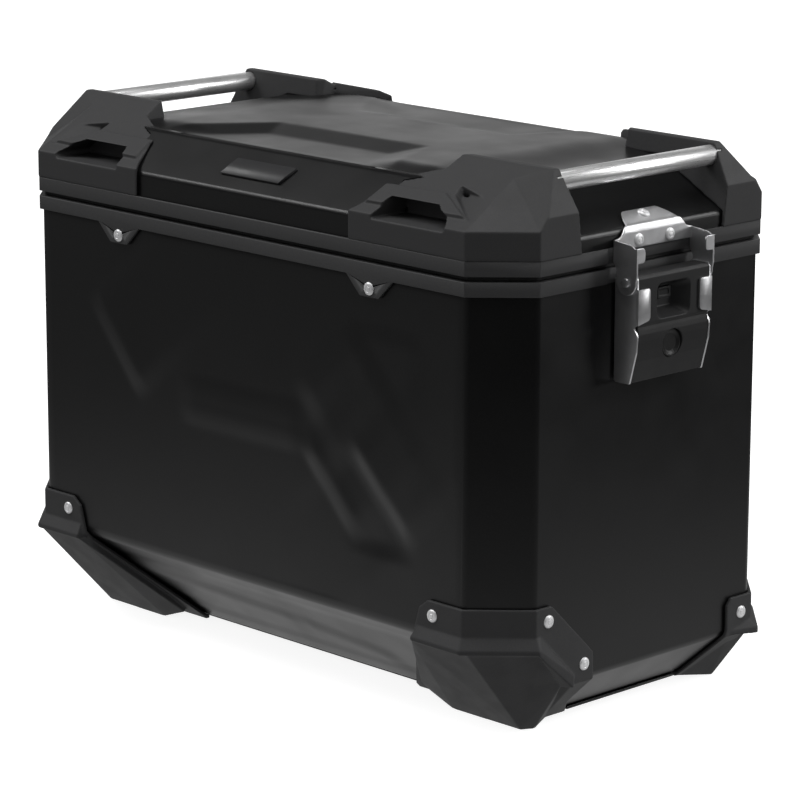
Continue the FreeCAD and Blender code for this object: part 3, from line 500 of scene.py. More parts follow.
def make_body_shell():
    """The folded lower case, with pressed relief on its front and on the front bevel."""
    item = convex("case_sheet", case_planes(0, CASE_TOP))
    bm = bmesh.new()
    bm.from_mesh(item.data)
    bevel_edges(bm, CASE_FOLD)
    front, slope = Vector((0, -1, 0)), Vector((0, -1, -1)).normalized()
    for face in bm.faces:
        face.material_index = 0
        if face.normal.dot(front) > SAME_WAY:
            face.material_index = FRONT_FACE
        if face.normal.dot(slope) > SAME_WAY:
            face.material_index = BEVEL_FACE
    for chosen in (FRONT_FACE, BEVEL_FACE):
        slice_faces(bm, chosen, 0, -PRESSED_X, PRESSED_X, RELIEF_PITCH)
        slice_faces(bm, chosen, 2, *PRESSED_Z, RELIEF_PITCH)
    for face in [f for f in bm.faces if f.normal.z > NEARLY]:
        bm.faces.remove(face)
    for vert in bm.verts:
        kinds = {face.material_index for face in vert.link_faces}
        if kinds == {FRONT_FACE}:
            vert.co.y -= crease_height(FRONT_CREASES, vert.co.x, vert.co.z)
        elif kinds == {BEVEL_FACE}:
            down = (FRONT_FOLD - vert.co.z) * math.sqrt(2)
            height = crease_height(BEVEL_CREASES, vert.co.x, down) - BEVEL_SUNK
            vert.co += slope * height * step(down, 4, 14) * step(BEVEL_LENGTH - down, 0, 12)
    bm.to_mesh(item.data)
    bm.free()
    thicken(item)
    finish_piece(item, "case", "coated_aluminium", "body_shell")
    weighted(item)


# edge of the field that is pressed down in the lid's top; there is a second one, mirrored in Y
TOP_FIELD = [(-136, -124), (-72, -39), (77, -36), (118, -124)]
# the rest of the top rises by this much, over this distance from the field's edge
TOP_RISE, FIELD_RAMP = 4.5, 24
TOP_PRESSED_X, TOP_PRESSED_Y = 186, 106


def inside_distance(outline, x, y):
    """Distance from a closed outline, positive inside it."""
    nearest, inside = 1e9, False
    count = len(outline)
    for i in range(count):
        (x0, y0), (x1, y1) = outline[i], outline[(i + 1) % count]
        dx, dy = x1 - x0, y1 - y0
        t = min(1.0, max(0.0, ((x - x0) * dx + (y - y0) * dy) / (dx * dx + dy * dy)))
        nearest = min(nearest, math.hypot(x - x0 - t * dx, y - y0 - t * dy))
        if (y0 > y) != (y1 > y) and x < x0 + (y - y0) / dy * dx:
            inside = not inside
    return nearest if inside else -nearest


def make_lid_shell():
    """The folded lid, with seats for the corner guards and a pressed top."""
    item = convex("lid_sheet", lid_planes(0, LID_LOW))
    bm = bmesh.new()
    bm.from_mesh(item.data)
    bevel_edges(bm, LID_FOLD)
    bm.to_mesh(item.data)
    bm.free()
    for sx in (-1, 1):
        for sy in (-1, 1):
            outline = [(sx * x, sy * y) for x, y in SEAT_EDGE]
            boolean(item, slab("seat", outline, along_z, LID_SEAT, 420), "DIFFERENCE")
    bm = bmesh.new()
    bm.from_mesh(item.data)
    bmesh.ops.dissolve_limit(bm, angle_limit=0.01, verts=bm.verts, edges=bm.edges)
    for face in bm.faces:
        top = face.normal.z > SAME_WAY and face.calc_center_median().z > LID_TOP - 1
        face.material_index = 1 if top else 0
    slice_faces(bm, 1, 0, -TOP_PRESSED_X, TOP_PRESSED_X, RELIEF_PITCH)
    slice_faces(bm, 1, 1, -TOP_PRESSED_Y, TOP_PRESSED_Y, RELIEF_PITCH)
    for vert in bm.verts:
        if {face.material_index for face in vert.link_faces} == {1}:
            x, y = vert.co.x, vert.co.y
            edge = step(188 - abs(x), 0, 60) * step(LID_TOP_Y - abs(y), -6, 22)
            inside = inside_distance(TOP_FIELD, x, -abs(y))
            field = min(1.0, max(0.0, inside / FIELD_RAMP))
            vert.co.z += TOP_RISE * (1 - field) * edge
    for face in [f for f in bm.faces
                 if f.normal.z < -NEARLY and f.calc_center_median().z < LID_LOW + 1]:
        bm.faces.remove(face)
    bm.to_mesh(item.data)
    bm.free()
    thicken(item)
    finish_piece(item, "lid", "coated_aluminium", "lid_shell")
    weighted(item)


# ---------------------------------------------------------------- moulded corners

# voxel size, rounds of smoothing and the share of faces that is kept
CELL, SOFTER, KEPT = ((0.7, 5, 0.3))
# a cap's levels, and its outline in plan
CAP_LOW, CAP_BAND, CAP_RIDGE, CAP_SHOULDER = 333.9, 353.5, 389.8, 362.0
CAP_X, CAP_Y, CAP_CORNER, RIDGE_Y = 254.8, 145.3, 34.8, 83.0
CAP_SLOPE = (CAP_RIDGE - CAP_BAND) / (CAP_Y - RIDGE_Y)
CAP_OUT = Vector((0, -CAP_SLOPE, 1)).normalized()
TUBE_X, TUBE_Z, SOCKET_RADIUS, SOCKET_END = 235.5, 380.5, 7.15, 82.3
LID_GAP = 0.25


def on_slope(x, y, out=0.0):
    """A point of the cap's sloping front, or above it; y is the distance from the middle."""
    return Vector((x, -y, CAP_BAND + CAP_SLOPE * (CAP_Y - y))) + CAP_OUT * out


def lid_clearance():
    """What the lid takes up, with a seat cut down at the front right corner."""
    item = convex("lid_clearance", lid_planes(LID_GAP, 300))
    seat = [(x, -y) for x, y in SEAT_EDGE]
    return boolean(item, slab("seat", seat, along_z, LID_SEAT + LID_GAP, 420), "DIFFERENCE")


def faceted(name, faces):
    """A closed solid from its faces, each a list of corners."""
    bm = bmesh.new()
    places = sorted({tuple(place) for face in faces for place in face})
    verts = {place: bm.verts.new(place) for place in places}
    for face in faces:
        bm.faces.new([verts[tuple(place)] for place in face])
    bmesh.ops.triangulate(bm, faces=bm.faces)
    return new_object(name, bm)


def cap_block():
    """The faceted block of the front right cap, before anything is cut from it."""
    shoulder_y = 70.5 + 6.5 * (CAP_SHOULDER - CAP_LOW) / (CAP_RIDGE - CAP_LOW)
    # corners of the upright band: along the front, at the chamfer, and on the end
    a, b = (109, -CAP_Y, CAP_BAND), (CAP_X - CAP_CORNER, -CAP_Y, CAP_BAND)
    c, e = (CAP_X, CAP_CORNER - CAP_Y, CAP_BAND), (CAP_X, -103.5, CAP_SHOULDER)
    d, p0, p1 = (CAP_X, -shoulder_y, CAP_SHOULDER), on_slope(203, 93), on_slope(216, 96)
    # the ridge's strip, and the steps of the inner edge
    r1, r0 = (239, -RIDGE_Y, CAP_RIDGE), (156, -RIDGE_Y, CAP_RIDGE)
    s1, s0 = (239, -77, CAP_RIDGE), (160, -77, CAP_RIDGE)
    w0, w1, w2 = on_slope(114.5, 137.6), on_slope(125, 110), on_slope(154, 96.4)
    foot = {name: (point[0], point[1], CAP_LOW) for name, point in
            (("a", a), ("b", b), ("c", c), ("w0", w0), ("w1", w1), ("w2", w2))}
    d_low, s_low = (CAP_X, -70.5, CAP_LOW), (154, -70.5, CAP_LOW)
    return faceted("cap", [
        (a, b, p0, p1, r1, r0, w2, w1, w0), (b, c, p1, p0), (c, e, p1), (e, r1, p1), (e, d, s1, r1),
        (r0, r1, s1, s0), (foot["c"], d_low, d, e, c), (foot["b"], foot["c"], c, b),
        (foot["a"], foot["b"], b, a), (d_low, s_low, s0, s1, d), (s_low, foot["w2"], w2),
        (s_low, w2, r0), (s_low, r0, s0), (foot["w2"], foot["w1"], w1, w2),
        (foot["w1"], foot["w0"], w0, w1), (foot["w0"], foot["a"], a, w0),
        (foot["a"], foot["w0"], foot["w1"], foot["w2"], s_low, d_low, foot["c"], foot["b"])])


def slot_mouth():
    """The room of the lashing slot's mouth."""
    opening = rounded([(131, 350.6), (199, 350.6), (201, 353.5), (190.5, 361), (181, 364.5),
                       (136, 364.5)], [1, 1.5, 2, 5, 5, 3])
    return slab("mouth", opening, along_y, -152, -112)


def make_caps():
    """Guards with a raised frame round a lashing slot, and a dish where the strap comes out.

    The back pair has a lug too.
    """
    cap = cap_block()
    frame_edge = ((118, 137), (121, 119), (177, 118), (211, 135.5))
    inner_edge = ((119.3, 136.2), (122, 120), (176.5, 119), (208.5, 135))
    raised = hull("frame", [on_slope(x, y, -3) for x, y in frame_edge] +
                  [on_slope(x, y, 0.5) for x, y in frame_edge] +
                  [on_slope(x, y, 2.4) for x, y in inner_edge])
    dish_edge = ((180.1, 108.8), (182.5, 117.3), (212.4, 135.6), (217.5, 135.6), (208.3, 115.7))
    dish_floor = ((184.5, 110.6, -5), (186.5, 117.5, -4.5), (213, 135, -1))
    dish = hull("dish", [on_slope(x, y, out) for x, y, out in dish_floor] +
                [on_slope(x, y, out) for x, y in dish_edge for out in (0, 5)])
    exit_edge = ((182.5, 110), (190, 111.8), (189.5, 113.4), (183.5, 112.6))
    strap_exit = hull("exit", [on_slope(x, y, out) for x, y in exit_edge for out in (-12, -2)])
    boolean(cap, raised, "UNION")
    for room in (dish, slot_mouth(), strap_exit, lid_clearance(),
                 cylinder("socket", SOCKET_RADIUS, (TUBE_X, -SOCKET_END, TUBE_Z),
                          (TUBE_X, SOCKET_END, TUBE_Z), 32)):
        boolean(cap, room, "DIFFERENCE")
    back_cap = new_object("back_cap", bmesh.new())
    back_cap.data = cap.data.copy()
    lug_top = [(157, -92, 386.6), (154, -96.4, 385.2), (125.4, -110, 382), (117.5, -116, 378.2),
               (125, -121, 376), (185, -112, 379)]
    lug_foot = ((157, 92), (154, 96.4), (125.4, 110), (116.5, 122), (122, 126), (190, 118))
    lug = hull("lug", lug_top + [on_slope(x, y, -6) for x, y in lug_foot])
    boolean(lug, lid_clearance(), "DIFFERENCE")
    boolean(lug, slot_mouth(), "DIFFERENCE")
    boolean(back_cap, lug, "UNION")
    for item, side_y, where in ((cap, 1, "front"), (back_cap, -1, "back")):
        remoulded(item, CELL, SOFTER, KEPT)
        for side_x, side in ((1, "right"), (-1, "left")):
            node = f"cap_{where}_{side}"
            look = mirrored(item, f"{node}_look", side_x, side_y)
            finish_piece(look, "lid", "corner_plastic", node)
        bpy.data.objects.remove(item)


def deepened(points, towards, depth):
    """Points, and copies of them moved inwards."""
    aim = Vector(towards)
    return points + [Vector(p) + (aim - Vector(p)).normalized() * depth for p in points]


FLANGE, FLANGE_TOP, CASE_GAP, FOOT_DEPTH = 3, 120, 0.15, 14


def make_foot(node, outlines, chunks, towards):
    """A flange that wraps the case's corner, and thicker facets that stand on the ground.

    The outlines are the flange's on the long side (X, Z) and on the end (Y, Z), and side is
    the sign of Y. The facets' points are deepened towards a point inside the case.
    """
    flange_long, flange_end, side = outlines
    flange = convex("flange", case_planes(FLANGE, FLANGE_TOP))
    near, far = sorted((side * 109, side * 152))
    zone = slab("zone", flange_long, along_y, near, far)
    near, far = sorted((side * 76, side * 152))
    under = [(min(u, 219), v) for u, v in flange_long]
    boolean(zone, slab("zone_under", under, along_y, near, far), "UNION")
    boolean(zone, slab("zone_end", flange_end, along_x, 205, 262), "UNION")
    boolean(flange, zone, "INTERSECT")
    solids = [flange] + [hull("chunk", deepened(points, towards, FOOT_DEPTH)) for points in chunks]
    for solid in solids:
        boolean(solid, convex("case", case_planes(CASE_GAP, 200)), "DIFFERENCE")
    foot = remoulded(joined("foot", *solids), CELL, SOFTER, KEPT)
    for name, side_x in ((f"{node}_right", 1), (f"{node}_left", -1)):
        look = mirrored(foot, f"{name}_look", side_x, 1)
        finish_piece(look, "case", "corner_plastic", name)
    bpy.data.objects.remove(foot)


def make_feet():
    """The front feet reach up over the large bevel; the back feet are smaller."""
    low_edge = [(177, -149, 67.5), (222, -149.5, 67.5), (259, -112.5, 67.5)]
    lip = [(176, -151, 69), (176, -151, 71), (222, -151, 69), (222, -151, 71),
           (260.5, -112.5, 69), (260.5, -112.5, 71)]
    shoulder = [(178, -145.5, 79), (219.7, -145.5, 79), (255, -110.2, 79)]
    end_lip = [(260.5, -112.5, 71), (260.5, -111, 71), (260.5, -78.5, 47.3), (260.5, -79, 38.5),
               (260.5, -112.5, 67.5), (255, -110.2, 79), (255, -107.5, 79.6), (255, -72.3, 44.7),
               (253.5, -83, 38.5), (250, -76, 40)]
    block = [(173, -141.3, 60.8), (133.4, -98, 18.3), (130, -86, 8.4), (138, -85, 7.6),
             (152.4, -88.7, 10.9), (175, -148.6, 67.8), (225.8, -147.2, 69.3),
             (260.5, -111, 69.3), (253, -83, 39.5), (221.7, -84, 13.4), (218.2, -89.3, 15.8),
             (152.9, -85.7, 0), (217.2, -85.1, 0), (222, -76.3, 0), (221, -64, 5.5)]
    flange_long = ((187, 98), (262, 98), (262, -5), (113, -5), (113, 9), (172, 68), (179, 92))
    flange_end = ((-150, 98), (-95, 98), (-54, 58), (-53.5, 40), (-56, 18), (-45, 5.5),
                  (-45, -5), (-150, -5))
    make_foot("foot_front", (flange_long, flange_end, -1),
              [low_edge + lip + shoulder, end_lip, block], (150, -40, 90))
    lip = [(255, 88, 42), (255, 88, 38.7), (259.5, 113, 41), (259.5, 113, 36.5),
           (242, 131, 40), (242, 131, 35.5), (224, 149, 41), (224, 149, 36.5),
           (205, 145.5, 42), (205, 145.5, 38.7), (255, 108.5, 47.6), (220.5, 145.5, 47.6)]
    block = [(252, 90, 38), (252, 108, 36.5), (233.5, 124, 26.4), (220, 142, 36.5), (204, 142, 38),
             (225.4, 115.9, 13), (223.7, 114.2, 5), (225.8, 103.1, 0), (214.6, 95.4, 0),
             (220, 68.5, 5.5), (196, 95.4, 0), (180, 106, 5), (186, 118, 15)]
    flange_long = ((196, 66), (262, 66), (262, -5), (170, -5), (170, 12), (190, 40), (192, 62))
    flange_end = ((150, 66), (88.6, 66), (84, 60), (84.4, 43), (72, 12.8), (68, 5.5), (68, -5),
                  (150, -5))
    make_foot("foot_back", (flange_long, flange_end, 1), [lip, block], (150, 40, 90))


# ---------------------------------------------------------------- latches

FINE, FINE_ROUNDS = ((0.35, 3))
# shares of the remeshed faces that are kept
COVER_KEPT, BRACKET_KEPT, SMALL_KEPT = 0.25, 0.35, 0.4
PIN_X, PIN_Z, LOCK_Z = 265.0, 311.6, 266.5
# half widths: the lever's sides and the bracket's arms, inside and outside
LEVER_IN, LEVER_OUT, ARM_IN, ARM_OUT = 35.3, 36.8, 37.4, 38.9


def rounded(outline, radii, steps=4):
    """An outline with its corners rounded; a radius of 0 keeps a corner sharp."""
    points = []
    count = len(outline)
    for i, (corner, radius) in enumerate(zip(outline, radii)):
        here = Vector(corner)
        before = (Vector(outline[i - 1]) - here).normalized()
        after = (Vector(outline[(i + 1) % count]) - here).normalized()
        if not radius:
            points.append(tuple(here))
            continue
        half = before.angle(after) / 2
        middle = here + (before + after).normalized() * (radius / math.sin(half))
        start = here + before * (radius / math.tan(half)) - middle
        end = here + after * (radius / math.tan(half)) - middle
        turn = math.atan2(start.cross(end), start.dot(end))
        for k in range(steps + 1):
            a = turn * k / steps
            points.append((middle.x + start.x * math.cos(a) - start.y * math.sin(a),
                           middle.y + start.x * math.sin(a) + start.y * math.cos(a)))
    return points


def cylinder(name, radius, start, end, segments=48, far_radius=None):
    """A round bar between two points, or a cone."""
    start, end = Vector(start), Vector(end)
    away = end - start
    turn = away.to_track_quat("Z", "Y").to_matrix().to_4x4()
    bm = bmesh.new()
    bmesh.ops.create_cone(
        bm, segments=segments, radius1=radius,
        radius2=radius if far_radius is None else far_radius, depth=away.length, cap_ends=True,
        matrix=Matrix.Translation((start + end) / 2) @ turn)
    return new_object(name, bm)


def both_latches(item, piece, body, slot, look=None):
    """Put a latch piece at both ends in place of the CAD piece."""
    for side, sign in (("right", 1), ("left", -1)):
        place = body if body == "lid" else f"{body}_{side}"
        finish_piece(mirrored(item, f"{piece}_{side}_look", sign, 1), place, slot,
                     f"{piece}_{side}", look=look)
    bpy.data.objects.remove(item)


def make_cover():
    """The lever's moulded cover: a funnel-shaped recess with a window, and the lock's bore."""
    front = [(259.6, 243), (267.1, 243), (269.3, 250.5), (271.3, 258), (272.7, 265.5), (273.4, 272),
             (273.5, 276.4), (273.1, 279.5), (272.6, 281.8), (273.2, 283.6), (273.2, 314.3),
             (271.5, 316.4), (259.6, 316.4)]
    cover = slab("cover", front, along_y, -35.1, 35.1)
    rings = []
    for x, half, low, high, radius in (
            (274.4, 17.2, 284.0, 310.0, 5), (272.6, 16.3, 285.0, 309.0, 5),
            (263.0, 9.5, 290.5, 305.6, 3.5)):
        ring = rounded([(-half, low), (half, low), (half, high), (-half, high)], [radius] * 4)
        rings.append([(x, y, z) for y, z in ring])
    boolean(cover, hull("funnel", rings[1] + rings[2]), "DIFFERENCE")
    boolean(cover, hull("funnel_lip", rings[0] + rings[1]), "DIFFERENCE")
    window = ((-7, 295.6), (7, 295.6), (7, 303.9), (-7, 303.9))
    boolean(cover, slab("window", window, along_x, 258, 266), "DIFFERENCE")
    boolean(cover, cylinder("bore", 9.9, (256, 0, LOCK_Z), (280, 0, LOCK_Z)), "DIFFERENCE")
    boolean(cover, cylinder("pin", 3.2, (PIN_X, -50, PIN_Z), (PIN_X, 50, PIN_Z)), "DIFFERENCE")
    for side in (-1, 1):
        low, high = sorted((side * 13, side * 25))
        room = ((250, 240), (262.4, 240), (262.4, 289.5), (250, 289.5))
        boolean(cover, slab("room", room, along_y, low, high), "DIFFERENCE")
    hook_slot = ((250, 278.6), (269.4, 278.6), (269.4, 282), (250, 282))
    boolean(cover, slab("hook_slot", hook_slot, along_y, -40, 40), "DIFFERENCE")
    remoulded(cover, FINE, FINE_ROUNDS, COVER_KEPT)
    both_latches(cover, "lever_cover", "lever", "lever_plastic")


def bent_sheet(name, width, *solids):
    """Sheet parts joined into one, with their edges eased."""
    item = solids[0]
    for other in solids[1:]:
        boolean(item, other, "UNION")
    bm = bmesh.new()
    bm.from_mesh(item.data)
    bmesh.ops.remove_doubles(bm, verts=bm.verts, dist=SAME_PLACE)
    bmesh.ops.dissolve_limit(bm, angle_limit=0.01, verts=bm.verts, edges=bm.edges)
    bevel_edges(bm, width, 2, 40)
    bm.to_mesh(item.data)
    bm.free()
    item.name = name
    return item


# the lever's side plate, seen along Y
SIDE = [(253.6, 244), (255, 242.5), (267.4, 242.5), (273.2, 265), (274, 276.5), (270.5, 281.7),
        (273.4, 283.5), (273.4, 314.5), (271.6, 316.6), (257, 316.6), (253.6, 313.2)]


def make_lever_frame():
    """Two stainless side plates with a bent tab each, and the webs behind the cover."""
    side_outline = rounded(SIDE, [0, 0, 1, 6, 5, 1.5, 1, 1, 1, 2, 0])
    parts = []
    for sign in (-1, 1):
        inner, outer = sorted((sign * LEVER_IN, sign * LEVER_OUT))
        parts.append(slab("side", side_outline, along_y, inner, outer))
        tab = rounded([(24.8, 286), (36.8, 283.5), (36.8, 307.5), (24.8, 307.5)], [3, 0, 0, 2.5])
        parts.append(slab("tab", [(sign * y, z) for y, z in tab], along_x, 273.4, 274.8))
        low, high = sorted((sign * 25, sign * 35.6))
        web = ((253.6, 244), (254.8, 244), (254.8, 260), (253.6, 260))
        parts.append(slab("web", web, along_y, low, high))
    parts.append(slab("web", ((253.6, 293.5), (254.8, 293.5), (254.8, 307), (253.6, 307)),
                      along_y, -35.6, 35.6))
    frame_item = bent_sheet("lever_frame", 0.25, *parts)
    both_latches(frame_item, "lever_frame", "lever", "bracket_steel")


def make_bracket():
    """The lid's stainless bracket: a bent plate, two arms with round eyes and two bent tabs."""
    # the plate's section in X, Z: it follows the lid's end slope from the slope's lower edge
    along, out = Vector((-0.8932, 0.4495)), Vector((0.4495, 0.8932))
    corner = Vector((HALF_X, END_BEAD))
    strip = []
    for face_x, lift, radius in ((254.7, 2.7, 6.5), (253.2, 1.2, 5.0)):
        far = corner + along * 18 + out * lift
        rise = far.y - along.y / along.x * (far.x - face_x)
        path = rounded([(face_x, 331), (face_x, rise), tuple(far)], [0, radius, 0], 6)
        strip.append(path)
    sheet = slab("strip", strip[0] + strip[1][::-1], along_y, -ARM_OUT, ARM_OUT)
    upright = rounded([(-ARM_OUT, 331), (ARM_OUT, 331), (ARM_OUT, 338.8), (32.5, 340),
                       (27.2, 346.5), (-27.2, 346.5), (-32.5, 340), (-ARM_OUT, 338.8)],
                      [0, 0, 0, 5, 0, 0, 5, 0])
    zone = slab("upright", upright, along_x, 252.4, 256)
    plan = rounded([(260, -27.4), (260, 27.4), (252, 25.5), (246, 22.5), (239.5, 17), (239.5, -17),
                    (246, -22.5), (252, -25.5)], [0, 0, 8, 8, 5, 5, 8, 8])
    boolean(zone, slab("plan", plan, along_z, 343, 370), "UNION")
    boolean(sheet, zone, "INTERSECT")
    solids = [sheet]
    arm = rounded([(253.2, 338.8), (270, 337.2), (274.4, 333.5), (274.4, 316), (273.4, PIN_Z),
                   (257, PIN_Z), (256, 320), (253.2, 324)], [0, 6, 3, 3, 0, 0, 2, 0])
    tab = rounded([(30.4, 325.3), (ARM_OUT, 325.3), (ARM_OUT, 335.6), (30.4, 335.6)],
                  [2.4, 0, 0, 3])
    for sign in (-1, 1):
        low, high = sorted((sign * ARM_IN, sign * ARM_OUT))
        solids.append(slab("arm", arm, along_y, low, high))
        solids.append(cylinder("eye", 8.6, (PIN_X, low, PIN_Z), (PIN_X, high, PIN_Z)))
        solids.append(slab("tab", [(sign * y, z) for y, z in tab], along_x, 272.9, 274.4))
    bracket = remoulded(joined("bracket", *solids), FINE, 2, BRACKET_KEPT)
    both_latches(bracket, "lid_bracket", "lid", "bracket_steel")


# a head's section: shares of its radius and of its rise
RIVET_PROFILE = [(1.0, -0.6), (1.0, 0.0), (0.97, 0.3), (0.86, 0.62), (0.7, 0.82), (0.52, 0.88),
                 (0.47, 0.72), (0.4, 0.72), (0.34, 0.95), (0.18, 1.0)]
HEAD_SIDES, SHANK_RADIUS, TAIL_RADIUS, TAIL_THICKNESS = 28, 2.0, 3.2, 1.2


def rivet(place, out, radius, rise, grip):
    """A domed head with a ring pressed round its middle, a shank and its clenched tail."""
    turn = Vector(out).to_track_quat("Z", "Y").to_matrix()
    bm = bmesh.new()
    count = HEAD_SIDES
    rings = []
    for share, lift in RIVET_PROFILE:
        rings.append([bm.verts.new(turn @ Vector((
            radius * share * math.cos(2 * math.pi * k / count),
            radius * share * math.sin(2 * math.pi * k / count),
            rise * lift))) for k in range(count)])
    for low, high in zip(rings, rings[1:]):
        for k in range(count):
            bm.faces.new((low[k], low[(k + 1) % count], high[(k + 1) % count], high[k]))
    bm.faces.new(rings[-1])
    bm.faces.new(rings[0][::-1])
    bmesh.ops.translate(bm, vec=place, verts=bm.verts)
    place, out = Vector(place), Vector(out)
    end = place - out * (grip + TAIL_THICKNESS)
    return [new_object("head", bm), cylinder("shank", SHANK_RADIUS, place, end, 16),
            cylinder("tail", TAIL_RADIUS, place - out * grip, end, 20)]


def make_rivets():
    """Domed heads at the rim's tabs, on the feet and on the brackets."""
    # places on the surface, each with its outward direction
    rim, feet, brackets = [], [], []
    for side in (-1, 1):
        rim += [((side * 130, -145.1, 302.5), (0, -1, 0)),
                ((side * 130, 145.1, 302.5), (0, 1, 0))]
        feet += [((side * 192, -145.5, 88), (0, -1, 0)), ((side * 255, -98.5, 88), (side, 0, 0)),
                 ((side * 255, -63, 51), (side, 0, 0)), ((side * 255, 99, 54), (side, 0, 0)),
                 ((side * 205, 145.5, 58.5), (0, 1, 0))]
        brackets += [((side * 254.7, y, 336.2), (side, 0, 0)) for y in (-15.4, 15.4)]
        brackets.append(((side * 244.7, 0, 350.95), (side * 0.4495, 0, 0.8932)))
    for node, body, places, radius, rise, grip in (
            ("rim_rivets", "case", rim, 4.6, 1.5, 4.1),
            ("foot_rivets", "case", feet, 4.6, 1.5, 4.5),
            ("bracket_rivets", "lid", brackets, 4.4, 1.9, 4.4)):
        parts = [part for place, out in places for part in rivet(place, out, radius, rise, grip)]
        item = joined(f"{node}_look", *parts)
        finish_piece(item, body, "rivet_aluminium", node)
        item.data.set_sharp_from_angle(angle=math.radians(40))


def make_button():
    """The square release button, a little dished."""
    face = rounded([(-6.7, 295.9), (6.7, 295.9), (6.7, 303.6), (-6.7, 303.6)], [1.6] * 4)
    button = slab("button", face, along_x, 259.2, 264.5)
    dish = rounded([(-4.6, 297.6), (4.6, 297.6), (4.6, 301.9), (-4.6, 301.9)], [1.2] * 4)
    boolean(button, slab("dish", dish, along_x, 263.9, 266), "DIFFERENCE")
    remoulded(button, FINE * 0.7, 2, SMALL_KEPT)
    both_latches(button, "release_button", "button", "lever_plastic")


def make_lock():
    """The lock's barrel: a narrow ring round a shallow dish."""
    lock = cylinder("lock", 9.6, (257.4, 0, LOCK_Z), (271.6, 0, LOCK_Z), 64)
    dish = cylinder("dish", 6.0, (270.4, 0, LOCK_Z), (272.0, 0, LOCK_Z), 64, 9.2)
    boolean(lock, dish, "DIFFERENCE")
    remoulded(lock, FINE, 1, SMALL_KEPT)
    both_latches(lock, "lock_cylinder", "lock", "lock_plastic")


make_body_shell()
make_lid_shell()
make_caps()
make_feet()
make_cover()
make_lever_frame()
make_bracket()
make_rivets()
make_button()
make_lock()
for node in NODES:
    if not NODES[node].hide_render:
        soften_cad(node)


# ---------------------------------------------------------------- stage and camera

def ray_switch(tree, kind, ordinary, special):
    """A shader that is special for one kind of ray and ordinary for the rest."""
    path = tree.nodes.new("ShaderNodeLightPath")
    mix = tree.nodes.new("ShaderNodeMixShader")
    tree.links.new(path.outputs[kind], mix.inputs[0])
    tree.links.new(ordinary, mix.inputs[1])
    tree.links.new(special, mix.inputs[2])
    return mix.outputs[0]


# floor and backdrop: brightness to the camera, and what little they add as light
FLOOR_GLOW, FLOOR_BOUNCE, FLOOR_HALF = 0.88, 0.13, 12.0
WORLD_SEEN, WORLD_GLOW, WORLD_MIRRORED = 1.0, 0.5, 0.05
# the floor in reflections: bright near the case, dim far from it, and a little more to the left
MIRROR_NEAR, MIRROR_FAR, MIRROR_BRIGHT = 0.28, 1.15, (0.66, 0.02)
LEFTWARDS, LEFT_FROM, LEFT_TO, LEFT_BRIGHT = (-0.7, -0.7, 0), 0.5, 1.5, 0.2


def plain_light(tree, kind, strength):
    """A white emission or background shader."""
    node = tree.nodes.new(kind)
    node.inputs["Color"].default_value = (1, 1, 1, 1)
    node.inputs["Strength"].default_value = strength
    return node


def make_floor():
    """A plain pale floor, which is brightest in reflections close to the case."""
    mesh = bpy.data.meshes.new("floor")
    half = FLOOR_HALF
    mesh.from_pydata(
        [(-half, -half, 0), (half, -half, 0), (half, half, 0), (-half, half, 0)],
        [], [(0, 1, 2, 3)])
    floor = bpy.data.objects.new("floor", mesh)
    bpy.context.scene.collection.objects.link(floor)
    look = Shading("floor", (0.5, 0.5, 0.5), 0.9, Specular_IOR_Level=0.0,
                   Emission_Strength=FLOOR_GLOW, Emission_Color=(1, 1, 1, 1))
    tree = look.tree
    length = tree.nodes.new("ShaderNodeVectorMath")
    length.operation = "LENGTH"
    tree.links.new(look.place, length.inputs[0])
    near = ranged(tree, length.outputs["Value"], (MIRROR_NEAR, MIRROR_FAR), MIRROR_BRIGHT, True)
    leftwards = tree.nodes.new("ShaderNodeVectorMath")
    leftwards.operation = "DOT_PRODUCT"
    leftwards.inputs[1].default_value = LEFTWARDS
    tree.links.new(look.place, leftwards.inputs[0])
    left = ranged(tree, leftwards.outputs["Value"], (LEFT_FROM, LEFT_TO), (0.0, LEFT_BRIGHT), True)
    both = tree.nodes.new("ShaderNodeMath")
    both.operation = "ADD"
    tree.links.new(near, both.inputs[0])
    tree.links.new(left, both.inputs[1])
    reflected = plain_light(tree, "ShaderNodeEmission", 1.0)
    tree.links.new(both.outputs["Value"], reflected.inputs["Strength"])
    dim = plain_light(tree, "ShaderNodeEmission", FLOOR_BOUNCE)
    seen = ray_switch(tree, "Is Camera Ray", dim.outputs[0], look.shader.outputs[0])
    mixed = ray_switch(tree, "Is Glossy Ray", seen, reflected.outputs[0])
    tree.links.new(mixed, tree.nodes["Material Output"].inputs["Surface"])
    mesh.materials.append(look.material)


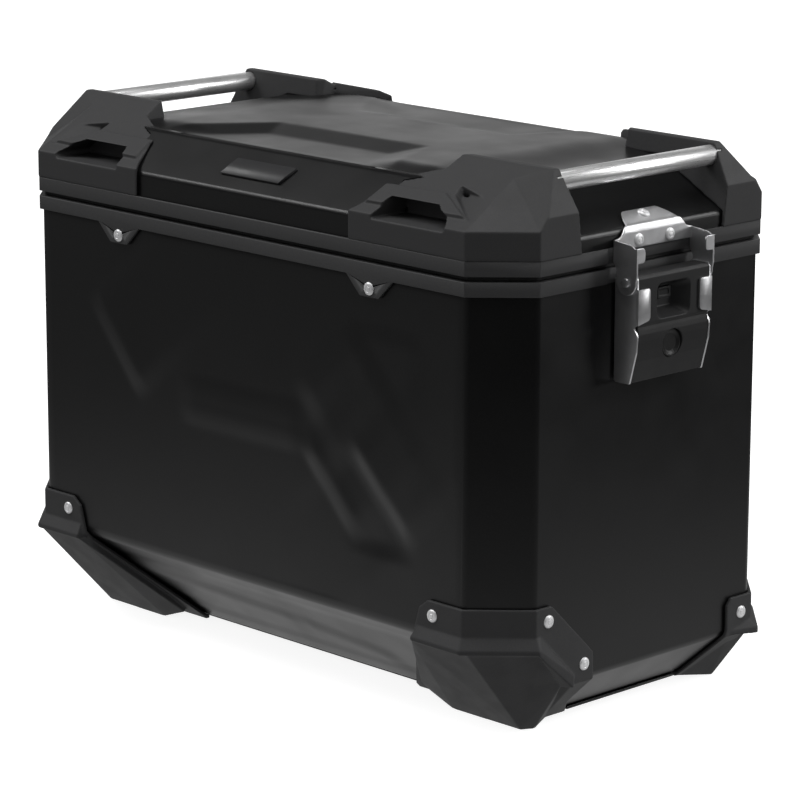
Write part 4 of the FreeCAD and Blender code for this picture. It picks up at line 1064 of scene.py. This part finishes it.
def make_world():
    """A white backdrop, which lights the case only softly."""
    world = bpy.data.worlds.new("studio")
    world.use_nodes = True
    tree = world.node_tree
    soft = plain_light(tree, "ShaderNodeBackground", WORLD_GLOW)
    dim = plain_light(tree, "ShaderNodeBackground", WORLD_MIRRORED)
    white = plain_light(tree, "ShaderNodeBackground", WORLD_SEEN)
    lit = ray_switch(tree, "Is Glossy Ray", soft.outputs[0], dim.outputs[0])
    mixed = ray_switch(tree, "Is Camera Ray", lit, white.outputs[0])
    tree.links.new(mixed, tree.nodes["World Output"].inputs["Surface"])
    bpy.context.scene.world = world


def softbox(name, azimuth, elevation, distance, size, watts):
    """A soft light on a sphere round the case; azimuth 0 is in front and 90 at the right end."""
    turn, lift = math.radians(azimuth), math.radians(elevation)
    away = Vector((math.sin(turn) * math.cos(lift), -math.cos(turn) * math.cos(lift),
                   math.sin(lift)))
    data = bpy.data.lights.new(name, "AREA")
    data.shape = "RECTANGLE"
    data.size, data.size_y = size
    data.energy = watts
    item = bpy.data.objects.new(name, data)
    item.location = Vector((0, 0, 0.2)) + away * distance
    item.rotation_euler = away.to_track_quat("Z", "Y").to_euler()
    item.visible_camera = False
    bpy.context.scene.collection.objects.link(item)


def make_camera():
    """A long lens, 45.7 degrees round from the front and 13.4 degrees up."""
    azimuth, elevation, roll = math.radians(45.71), math.radians(13.43), math.radians(0.18)
    target, distance = Vector((0.0114, 0.0, 0.1817)), 2.648
    back = Vector((math.sin(azimuth) * math.cos(elevation),
                   -math.cos(azimuth) * math.cos(elevation), math.sin(elevation)))
    data = bpy.data.cameras.new("camera")
    data.sensor_width = 36.0
    data.lens = 164.2
    data.clip_start, data.clip_end = 0.1, 30.0
    item = bpy.data.objects.new("camera", data)
    turn = (-back).to_track_quat("-Z", "Y") @ Matrix.Rotation(roll, 3, "Z").to_quaternion()
    item.location = target + back * distance
    item.rotation_mode = "QUATERNION"
    item.rotation_quaternion = turn
    bpy.context.scene.collection.objects.link(item)
    bpy.context.scene.camera = item


make_floor()
make_world()
# name, azimuth and elevation in degrees, distance and size in metres, watts
softbox("back_wall", 225, 14, 3.0, (3.0, 0.9), 6.5)
softbox("back_right", 138, 30, 2.6, (1.0, 1.0), 22)
softbox("low_right", 134, 5, 2.6, (0.5, 0.3), 5)
softbox("front_left", -55, 43, 2.8, (1.0, 1.0), 26)
softbox("overhead", 60, 78, 2.4, (1.4, 1.4), 24)
make_camera()
bpy.context.scene.view_settings.view_transform = "Standard"
